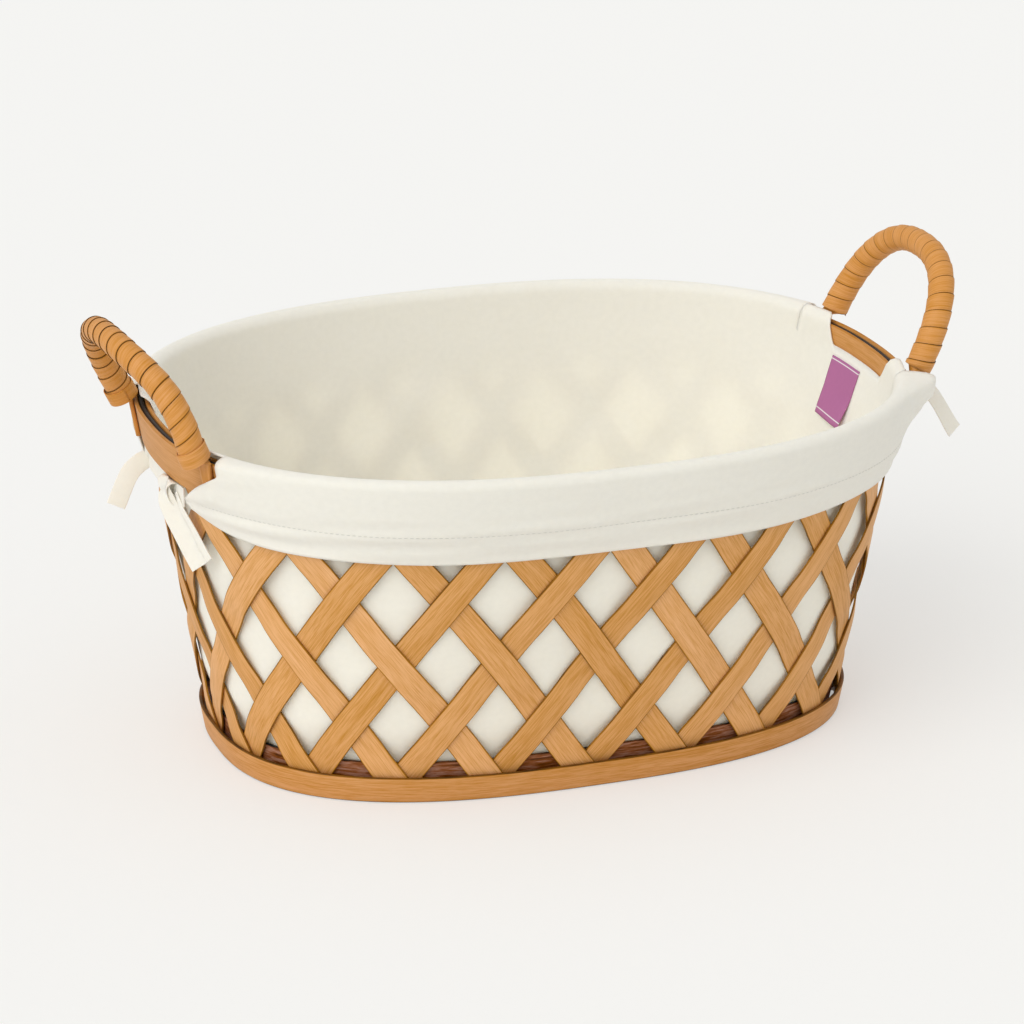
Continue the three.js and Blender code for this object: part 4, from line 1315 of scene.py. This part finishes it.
class BASKET_OT_liner(bpy.types.Operator):
    """Sews the cloth liner with its two cuffs, its bottom and its hem stitches"""

    bl_idname = "basket.liner"
    bl_label = "Cloth liner"

    # Points across each end, along each cuff, and up the wall below and above the hoop's top
    END_POINTS, CUFF_POINTS, LOW_POINTS, WALL_POINTS, EDGE_POINTS = 61, 181, 6, 44, 13
    # Height of the wall's lower edge over the board
    FOOT = 0.8 * MM
    # Distance from the middle of an end at which its top edge starts to rise, and its length of rise
    RISE_FROM, RISE_OVER = 36 * MM, 18 * MM
    # Stitches of the hem, their height over the cuff's middle, and the points left out at each end
    STITCH_PITCH, STITCH_LENGTH, STITCH_THREAD = 3.4 * MM, 2.4 * MM, 0.5 * MM
    STITCH_LIFT, STITCH_INSET = 0.55 * MM, 6
    # Share of the girth that a cuff spans, and the reach from its corners of what shapes it there
    CUFF_SPAN = 0.46
    PULL_REACH, STAND_REACH, DRAWN_REACH, CREASE_REACH = 30 * MM, 26 * MM, 7 * MM, 45 * MM
    # How far the tie pulls the cloth, and the depths of its waves, creases, hem seam and lower edge
    PULL, WAVE, CREASE, SEAM, EDGE_WAVE = 0.62, 0.9 * MM, 1.0 * MM, 0.25 * MM, 0.8 * MM
    SEAM_REACH, LEAST_OUT = 1.4 * MM, 2.6 * MM
    # The cloth over a handle's tongue: its reach aside, the height from which it lies there, and its out
    TONGUE_REACH, TONGUE_FROM, TONGUE_EASE, TONGUE_OUT = 11 * MM, 188 * MM, 6 * MM, 9.2 * MM
    # Rings and points of the bottom, its edge out from the weave, its lift, waves and the lift of its edge
    BOTTOM_RINGS, BOTTOM_POINTS, BOTTOM_EDGE, BOTTOM_THICKNESS = 26, 120, -6.15 * MM, 0.8 * MM
    BOTTOM_LIFT, BOTTOM_WAVE, BOTTOM_EDGE_LIFT = 0.9 * MM, 0.7 * MM, 1.2 * MM

    def execute(self, context):
        sizes, finish, wall = basket_sizes()
        shape = LinerShape(wall, sizes)
        cotton = cloth_material("liner_cotton", finish.cloth)
        sewing = cloth_material("sewing_thread", [0.8 * x for x in finish.cloth])
        liner, hems = self.liner(shape, cotton)
        bottom = self.bottom(shape, cotton)
        settings = {
            "Pitch": self.STITCH_PITCH,
            "Stitch Length": self.STITCH_LENGTH,
            "Thread": self.STITCH_THREAD,
            "Material": sewing,
        }
        thread = line_piece("hem_stitches", [(line, {}) for line in hems], stitch_row(), settings)
        for piece in (liner, bottom, thread):
            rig.ride(piece, "liner")
            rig.slot(piece, "cloth")
        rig.replaces(liner, "liner_wall", "liner_cuff_front", "liner_cuff_back")
        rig.replaces(bottom, "liner_bottom")
        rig.sheet(
            liner,
            flat=(0.285, 1.39),
            held="draped",
            rests_on=["rim_outer_band", "rim_inner_band"],
            with_pieces=[thread],
        )
        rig.sheet(bottom, flat=(0.262, 0.392), area=0.0855, held="laid", rests_on=["base_board"])
        return {"FINISHED"}

    def liner(self, shape, material):
        """Wall and both cuffs as one cloth, open under the handles, and the lines of its hems."""
        sizes, wall = shape.sizes, shape.wall
        shift = sizes.handle_shift
        right, left_back, left_front = wall.end_turn(shape.gap + np.array([0, -shift, shift]), shape.top)
        gap_turns = [
            np.linspace(-right, right, self.END_POINTS),
            0.5 + np.linspace(-left_back, left_front, self.END_POINTS),
        ]
        cuff_shares = np.linspace(0, 1, self.CUFF_POINTS)
        back_turns = right + (0.5 - left_back - right) * cuff_shares
        front_turns = 0.5 + left_front + (0.5 - right - left_front) * cuff_shares
        columns = np.concatenate([x[:-1] for x in (gap_turns[0], back_turns, gap_turns[1], front_turns)])
        count = len(columns)
        low = np.linspace(BOARD_TOP + self.FOOT, HOOP_TOP, self.LOW_POINTS)[:-1]
        heights = np.concatenate([low, np.linspace(HOOP_TOP, shape.top, self.WALL_POINTS)])
        turn, height = np.meshgrid(columns, heights)
        points = [wall.point(turn, height, shape.hung(turn, height)).reshape(-1, 3)]
        faces = grid_faces(len(heights), count, close_columns=True)
        along = [turn.ravel() * wall.perimeter]
        across = [height.ravel()]
        self.end_edges(shape, gap_turns, points, faces, (along, across), count)
        line = shape.cuff_line()
        run = shape.top + run_lengths(line)
        top_row = (len(heights) - 1) * count
        hems, start = [], sum(len(x) for x in points)
        for cuff, first in enumerate((self.END_POINTS - 1, count // 2 + self.END_POINTS - 1)):
            share, h = np.meshgrid(cuff_shares, line[:, 0])
            o = np.repeat(line[:, 1][:, None], len(cuff_shares), 1)
            begin, finish = (wall.end_turn(shape.end_gap(h, o, corner), h) for corner in shape.corners(cuff))
            turns = begin + (0.5 - finish - begin) * share + 0.5 * cuff
            h, o = self.gathered(shape, turns, share, h, o, cuff)
            block = wall.point(turns, h, o)
            rows, cols = share.shape
            faces.extend(moved_on(grid_faces(rows, cols), start))
            for i in range(cols - 1):
                a, b = top_row + (first + i) % count, top_row + (first + i + 1) % count
                faces.append([a, b, start + i + 1, start + i])
            points.append(block.reshape(-1, 3))
            along.append(turns.ravel() * wall.perimeter)
            across.append(np.repeat(run, cols))
            start += rows * cols
            hems.append(self.hem_line(shape, turns, h, o, run))
        values = {"along": np.concatenate(along), "across": np.concatenate(across)}
        piece = new_piece("liner_cloth", np.concatenate(points), faces, material, values, closed=False)
        thicken(piece, sizes.cloth_thickness)
        return piece, hems

    def end_edges(self, shape, gap_turns, points, faces, values, count):
        """The liner's top edge under each handle, which rises and turns over the rim beside the legs."""
        wall, sizes = shape.wall, shape.sizes
        top_row = len(points[0]) - count
        seat, straight = sizes.cloth_seat, sizes.wall_height - shape.top
        for end, end_turns in enumerate(gap_turns):
            place = (-1) ** end * wall.point(end_turns, shape.top, 0 * end_turns)[:, 1]
            from_middle = np.abs(place - end * sizes.handle_shift)
            risen = smooth_step((from_middle - self.RISE_FROM) / self.RISE_OVER)
            rise = (straight + 0.5 * math.pi * seat) * risen
            share, y = np.meshgrid(np.linspace(0, 1, self.EDGE_POINTS)[1:], place, indexing="ij")
            run = share * rise[None, :]
            bend = np.maximum(run - straight, 0) / seat
            height = shape.top + np.minimum(run, straight) + seat * np.sin(bend)
            turn = 0.5 * end + wall.end_turn(y, height)
            block = wall.point(turn, height, -seat * np.cos(bend)).reshape(-1, 3)
            start, columns = sum(len(x) for x in points), len(end_turns)
            below = [top_row + (end * count // 2 + i) % count for i in range(columns)]
            faces.extend([below[i], below[i + 1], start + i + 1, start + i] for i in range(columns - 1))
            faces.extend(moved_on(grid_faces(len(share), columns), start))
            points.append(block)
            for store, value in zip(values, (turn * wall.perimeter, height)):
                store.append(value.ravel())

    def gathered(self, shape, turns, share, height, out, cuff):
        """Lets the cuff hang with soft waves and draws its ends together towards the tie."""
        sizes, wall = shape.sizes, shape.wall
        near = np.minimum(share, 1 - share) * (self.CUFF_SPAN * wall.perimeter)
        outside = (out > 0) & (height < sizes.wall_height)
        down = np.where(outside, (sizes.wall_height - height) / sizes.cuff_drop, 0)
        pull = fall_off(near, self.PULL_REACH, 1.5) * smooth_step(down * 2 - 0.6)
        height = height + (sizes.tape_height - height) * self.PULL * pull * (down > 0)
        waves = soft_noise(turns, down * 0.4, seed=21 + cuff, waves=12, low=3, high=13)
        out = out + self.WAVE * waves * smooth_step(down * 1.2)
        first, last = shape.corners(cuff)
        corner = np.where(share < 0.5, first[1], last[1]) * fall_off(near, self.STAND_REACH)
        drawn = 1 - fall_off(near, self.DRAWN_REACH) * smooth_step((down - 0.35) / 0.3)
        over = smooth_step(out / sizes.cloth_seat) * (height >= sizes.wall_height)
        hump = np.where(outside, fall_off(np.maximum(down - 0.1, 0), 0.5, 1.3), over)
        out = out + corner * drawn * hump
        legs = wall.end_turn(sizes.handle_span / 2 + np.array([first[0], last[0]]), sizes.wall_height)
        leg_turn = np.where(share < 0.5, legs[0], 0.5 - legs[1])
        from_leg = np.abs(turns - 0.5 * cuff - leg_turn) * wall.perimeter
        over_tongue = fall_off(from_leg, self.TONGUE_REACH, 4)
        over_tongue = over_tongue * smooth_step((height - self.TONGUE_FROM) / self.TONGUE_EASE)
        out = np.where(outside, np.maximum(out, self.TONGUE_OUT * over_tongue), out)
        crease = np.sin(down * 13 + 2.0 + near * 45) * fall_off(near, self.CREASE_REACH, 1.3)
        out = out + self.CREASE * crease * smooth_step(down * 3 - 0.3)
        from_seam = sizes.cuff_drop * (1 - down) - sizes.hem_width
        out = out - self.SEAM * fall_off(from_seam, self.SEAM_REACH) * (down > 0)
        edge = soft_noise(turns, 0 * down, seed=31 + cuff, waves=8, low=2, high=7)
        height = height + self.EDGE_WAVE * edge * smooth_step(down * 1.6 - 0.6)
        return height, np.where(outside, np.maximum(out, self.LEAST_OUT), out)

    def hem_line(self, shape, turns, height, out, run):
        """The line of the hem's stitches on the cuff's outer face."""
        row = int(np.argmin(np.abs(run - (run[-1] - shape.sizes.hem_width))))
        keep = slice(self.STITCH_INSET, -self.STITCH_INSET)
        return shape.wall.point(turns[row, keep], height[row, keep], out[row, keep] + self.STITCH_LIFT)

    def bottom(self, shape, material):
        """The liner's bottom, lying in soft waves on the base board, its edge up against the wall."""
        rings, columns = self.BOTTOM_RINGS, self.BOTTOM_POINTS
        share = np.linspace(1, 0.02, rings)
        turn = np.arange(columns) / columns
        edge = shape.wall.point(turn, BOARD_TOP, np.full(columns, self.BOTTOM_EDGE))
        points = edge[None, :, :] * share[:, None, None]
        wave = soft_noise(points[..., 0] / 0.4, points[..., 1] / 0.26, seed=9, waves=12, low=1, high=3)
        waved = (1 + wave) * smooth_step((1 - share) / 0.2)[:, None]
        lift = self.BOTTOM_LIFT + self.BOTTOM_WAVE * waved
        lift[0] += self.BOTTOM_EDGE_LIFT
        points[..., 2] = BOARD_TOP + lift
        faces = grid_faces(rings, columns, close_columns=True)
        faces.append([(rings - 1) * columns + i for i in range(columns)])
        faces = [face[::-1] for face in faces]
        flat = points.reshape(-1, 3)
        values = {"along": flat[:, 0], "across": flat[:, 1]}
        piece = new_piece("liner_floor_cloth", flat, faces, material, values, closed=False)
        thicken(piece, self.BOTTOM_THICKNESS)
        return piece


class BASKET_OT_ties(bpy.types.Operator):
    """Ties the cuffs together under each handle"""

    bl_idname = "basket.ties"
    bl_label = "Ties"

    THREAD, THICKNESS, EDGE_RADIUS = 0.5 * MM, 0.9 * MM, 0.35 * MM
    # Points along the band, a turn of the knot and the tails
    BAND_POINTS, KNOT_POINTS, FRONT_POINTS, UNDER_POINTS, LOOSE_POINTS = 70, 44, 40, 30, 34
    # The knot's place along the end, its middle, and the half height and half depth of its turns
    KNOT_WIDTH, KNOT_PLACE, KNOT_MIDDLE, KNOT_OUT = 10 * MM, 27 * MM, 5.6 * MM, 5.8 * MM
    KNOT_HEIGHT, KNOT_DEPTH, KNOT_TURNS = 7.2, 3.1, 1.08
    # The way that the front tail's face turns to, and the share of its length over which it does
    FRONT_FACING, FRONT_TURNED = np.array([0.62, 0.78, 0.1]), 0.35
    # Where a loose tail leaves the cuff, inside the cuff's edge and out from the weave
    LOOSE_INSET, LOOSE_OUT = 8.5 * MM, 3.9 * MM

    def execute(self, context):
        sizes, finish, wall = basket_sizes()
        cotton = cloth_material("tape_cotton", finish.cloth, self.THREAD)
        for side, left in (("right", False), ("left", True)):
            wide = sizes.tape_width
            across, loose = self.band_line(wall, sizes), self.loose_line(wall, sizes, left)
            down, beneath = self.tail_lines(wall, sizes)
            knot_lines = self.knot_lines(wall, sizes)
            band = self.tape(f"tie_tape_{side}", [across], cotton, left, wide)
            knot = self.tape(f"tie_knot_{side}", knot_lines, cotton, left, self.KNOT_WIDTH)
            front = self.tape(f"tie_tail_front_{side}", [down], cotton, left, wide)
            under = self.tape(f"tie_tail_under_{side}", [beneath], cotton, left, wide)
            outer = self.tape(f"tie_tail_loose_{side}", [loose], cotton, left, wide)
            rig.replaces(band, f"tie_band_{side}")
            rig.replaces(knot, f"tie_band_{side}")
            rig.replaces(front, f"tie_tail_hanging_{side}")
            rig.replaces(under, f"tie_tail_hanging_{side}")
            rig.replaces(outer, f"tie_tail_outer_{side}")
            cut = self.cut_length
            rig.sheet(
                band,
                flat=(wide, cut(across)),
                held="stretched",
                rests_on=["liner_cloth"],
                with_pieces=[knot],
            )
            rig.sheet(front, flat=(wide, cut(down)), held="hung", rests_on=[knot.name])
            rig.sheet(under, flat=(wide, cut(beneath)), held="hung", rests_on=[knot.name])
            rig.sheet(outer, flat=(wide, cut(loose)), held="hung", rests_on=["liner_cloth"])
        return {"FINISHED"}

    def cut_length(self, line):
        """Length of tape along a line, which is the length that was cut."""
        return float(run_lengths(line[0])[-1])

    def tape(self, name, lines, material, left, width):
        """A piece of tape along lines of (points, facing), for one end of the basket."""
        made = []
        for points, facing in lines:
            values = {"facing": half_turned(facing, left), "along": run_lengths(points)}
            made.append((half_turned(points, left), values))
        settings = {
            "Width": width,
            "Thickness": self.THICKNESS,
            "Edge Radius": self.EDGE_RADIUS,
            "Material": material,
        }
        piece = line_piece(name, made, splint_sweep(), settings)
        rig.ride(piece, "liner")
        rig.slot(piece, "tape")
        return piece

    def wall_line(self, wall, places, count):
        """A smooth line through (y, height, out) places on the +X end."""
        places = np.array(places, float) * MM
        knots = np.linspace(0, 1, len(places))
        share = np.linspace(0, 1, count)
        y, height, out = (smooth_through(share, knots, places[:, i]) for i in range(3))
        turn = wall.end_turn(y, height)
        return wall.point(turn, height, out), wall.outward(turn, height)

    def band_line(self, wall, sizes):
        """From cuff to cuff under the handle, lifted a little at the knot."""
        tie = sizes.tape_height / MM
        places = [
            (-44, tie, 4.4), (-38, tie - 0.4, 3.2), (-20, tie + 0.5, 2.8), (0, tie - 0.3, 2.8),
            (14, tie, 3.8), (27, tie + 0.2, 4.6), (37, tie, 3.8), (44, tie, 4.4),
        ]
        return self.wall_line(wall, places, self.BAND_POINTS)

    def knot_lines(self, wall, sizes):
        """Two turns of tape crossing round the band."""
        lines, tie = [], sizes.tape_height
        middle_turn = np.array(float(wall.end_turn(self.KNOT_PLACE, tie)))
        centre = wall.point(middle_turn, tie, self.KNOT_MIDDLE)
        for tilt, lift, start in ((0.45, 0.0, 2.6), (-0.5, 0.7, 5.4)):
            angle = np.linspace(start, start + FULL_TURN * self.KNOT_TURNS, self.KNOT_POINTS)
            height = tie + (self.KNOT_HEIGHT + lift) * MM * np.cos(angle)
            out = self.KNOT_OUT + (self.KNOT_DEPTH + lift) * MM * np.sin(angle)
            turn = wall.end_turn(self.KNOT_PLACE + tilt * (height - tie), height)
            points = wall.point(turn, height, out)
            facing = points - centre
            facing[:, 1] *= 0.2
            lines.append((points, unit(facing)))
        return lines

    def tail_lines(self, wall, sizes):
        """The front tail and the one under it, hanging from the knot."""
        tie = sizes.tape_height / MM
        front = [
            (26, tie + 4, 7.6), (29, tie - 2, 10.6), (35, tie - 12, 10.6),
            (42, tie - 22, 9.8), (48, tie - 32, 9.0), (54, tie - 41, 8.4),
        ]
        under = [(31, tie - 3, 5.6), (39, tie - 11, 6.4), (48, tie - 22, 5.4), (58, tie - 37, 4.8)]
        points, facing = self.wall_line(wall, front, self.FRONT_POINTS)
        turned = smooth_step(np.linspace(0, 1, self.FRONT_POINTS) / self.FRONT_TURNED)[:, None]
        facing = unit(facing * (1 - turned) + self.FRONT_FACING * turned)
        return (points, facing), self.wall_line(wall, under, self.UNDER_POINTS)

    def loose_line(self, wall, sizes, left):
        """The tail beside the other cuff, which springs out of the wall and droops."""
        reach, falls = (21, (0, -3, -9, -30)) if left else (46, (0, 9, 13, -17))
        share = np.linspace(0, 1, self.LOOSE_POINTS)
        knots = np.array([0, 0.25, 0.55, 1])
        tie = sizes.tape_height
        turn = np.array(float(wall.end_turn(self.LOOSE_INSET - sizes.tie_gap, tie)))
        start, outward = wall.point(turn, tie, self.LOOSE_OUT), wall.outward(turn, tie)
        points = start + outward * (reach * MM * share)[:, None]
        points[:, 2] += MM * smooth_through(share, knots, np.array(falls, float))
        twist = (-0.4 if left else 0.6) * np.sin(share * 2.4)[:, None]
        return points, unit(np.array([0.0, -1.0, 0.0]) + twist * np.array([0.9, 0, 0.5]))


class BASKET_OT_label(bpy.types.Operator):
    """Sews the bare woven label inside one end of the liner"""

    bl_idname = "basket.label"
    bl_label = "Label"

    POINTS, THICKNESS, THREAD = 25, 0.6 * MM, 0.6 * MM
    # Its top edge below the liner's, its gap to the liner, and the curl of its lower edge
    DROP, GAP, CURL, CURL_HEIGHT = 5 * MM, 1.0 * MM, 3.8 * MM, 20 * MM
    # Distance of the pale lines from the lower and upper edge, where they fade, and their colour
    LOW_LINE, HIGH_LINE, LINE_FULL, LINE_NONE = 3.6 * MM, 1.8 * MM, 0.25 * MM, 0.45 * MM
    LINE_TINT = (0.80, 0.72, 0.77, 1)

    def execute(self, context):
        sizes, finish, wall = basket_sizes()
        shape = LinerShape(wall, sizes)
        wide, tall = sizes.label_width, sizes.label_height
        across, rows = np.linspace(-0.5, 0.5, self.POINTS), np.linspace(0, 1, self.POINTS)
        aside, up = np.meshgrid(across * wide, rows * tall)
        height = shape.top - self.DROP - tall + up
        turn = wall.end_turn(sizes.label_place + aside, height)
        curl = self.CURL * (1 - smooth_step(up / self.CURL_HEIGHT)) * (0.9 - 0.5 * (aside / wide + 0.5))
        points = wall.point(turn, height, shape.hung(turn, height) - self.GAP - curl)
        values = {"along": aside, "across": up}
        faces = [face[::-1] for face in grid_faces(self.POINTS, self.POINTS)]
        cloth = self.label_cloth(finish, tall)
        piece = new_piece("liner_label_cloth", points, faces, cloth, values, closed=False)
        thicken(piece, self.THICKNESS)
        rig.ride(piece, "liner")
        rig.replaces(piece, "liner_label")
        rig.slot(piece, "label")
        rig.sheet(piece, flat=(wide, tall), held="hung", rests_on=["liner_cloth"])
        return {"FINISHED"}

    def label_cloth(self, finish, tall):
        """Plum woven cloth with a fine pale line near its upper and lower edges."""
        material, make, shader = new_material("label_cloth")
        values = values_of(make, "along", "across")
        lines = []
        for place in (self.LOW_LINE, tall - self.HIGH_LINE):
            far = make.math("ABSOLUTE", make.math("SUBTRACT", values["Across"], place))
            lines.append(make.math("SUBTRACT", 1.0, make.ramp(far, self.LINE_FULL, self.LINE_NONE)))
        tint = make.mix(make.math("MAXIMUM", *lines), rgba(finish.label), self.LINE_TINT)
        values |= {"Color": tint, "Thread": self.THREAD}
        group = make.node("ShaderNodeGroup", values, node_tree=plain_weave())
        set_inputs(shader, {"Specular IOR Level": 0.2})
        finish_material(make, shader, group, bump=0.2, distance=0.3 * MM)
        return material


class BASKET_PT_sidebar(bpy.types.Panel):
    """Lists the steps that build the basket, and its sizes and colours"""

    bl_idname = "BASKET_PT_sidebar"
    bl_label = "Laundry basket"
    bl_space_type = "VIEW_3D"
    bl_region_type = "UI"
    bl_category = "Basket"

    def draw(self, context):
        for step in STEPS:
            self.layout.operator(step.bl_idname)
        for group in (context.scene.basket_sizes, context.scene.basket_finish):
            box = self.layout.box()
            for key in group.__annotations__:
                box.prop(group, key)


STEPS = (
    BASKET_OT_stage,
    BASKET_OT_woven_wall,
    BASKET_OT_bands,
    BASKET_OT_handles,
    BASKET_OT_liner,
    BASKET_OT_ties,
    BASKET_OT_label,
)
CLASSES = (BasketSizes, BasketFinish, *STEPS, BASKET_PT_sidebar)


def register():
    """Adds the classes and the scene's settings."""
    for item in CLASSES:
        bpy.utils.register_class(item)
    bpy.types.Scene.basket_sizes = bpy.props.PointerProperty(type=BasketSizes)
    bpy.types.Scene.basket_finish = bpy.props.PointerProperty(type=BasketFinish)


def unregister():
    """Takes the classes and the scene's settings away."""
    del bpy.types.Scene.basket_finish
    del bpy.types.Scene.basket_sizes
    for item in reversed(CLASSES):
        bpy.utils.unregister_class(item)


def main():
    """Builds the basket in order and writes its two boxes."""
    register()
    bpy.ops.basket.stage()
    bpy.ops.basket.woven_wall()
    bpy.ops.basket.bands()
    bpy.ops.basket.handles()
    bpy.ops.basket.liner()
    bpy.ops.basket.ties()
    bpy.ops.basket.label()
    low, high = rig.bounds()
    with open("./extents.json", "w") as file:
        json.dump({"cad": [list(x) for x in CAD_BOX], "visual": [list(low), list(high)]}, file)


if __name__ == "__main__":
    main()
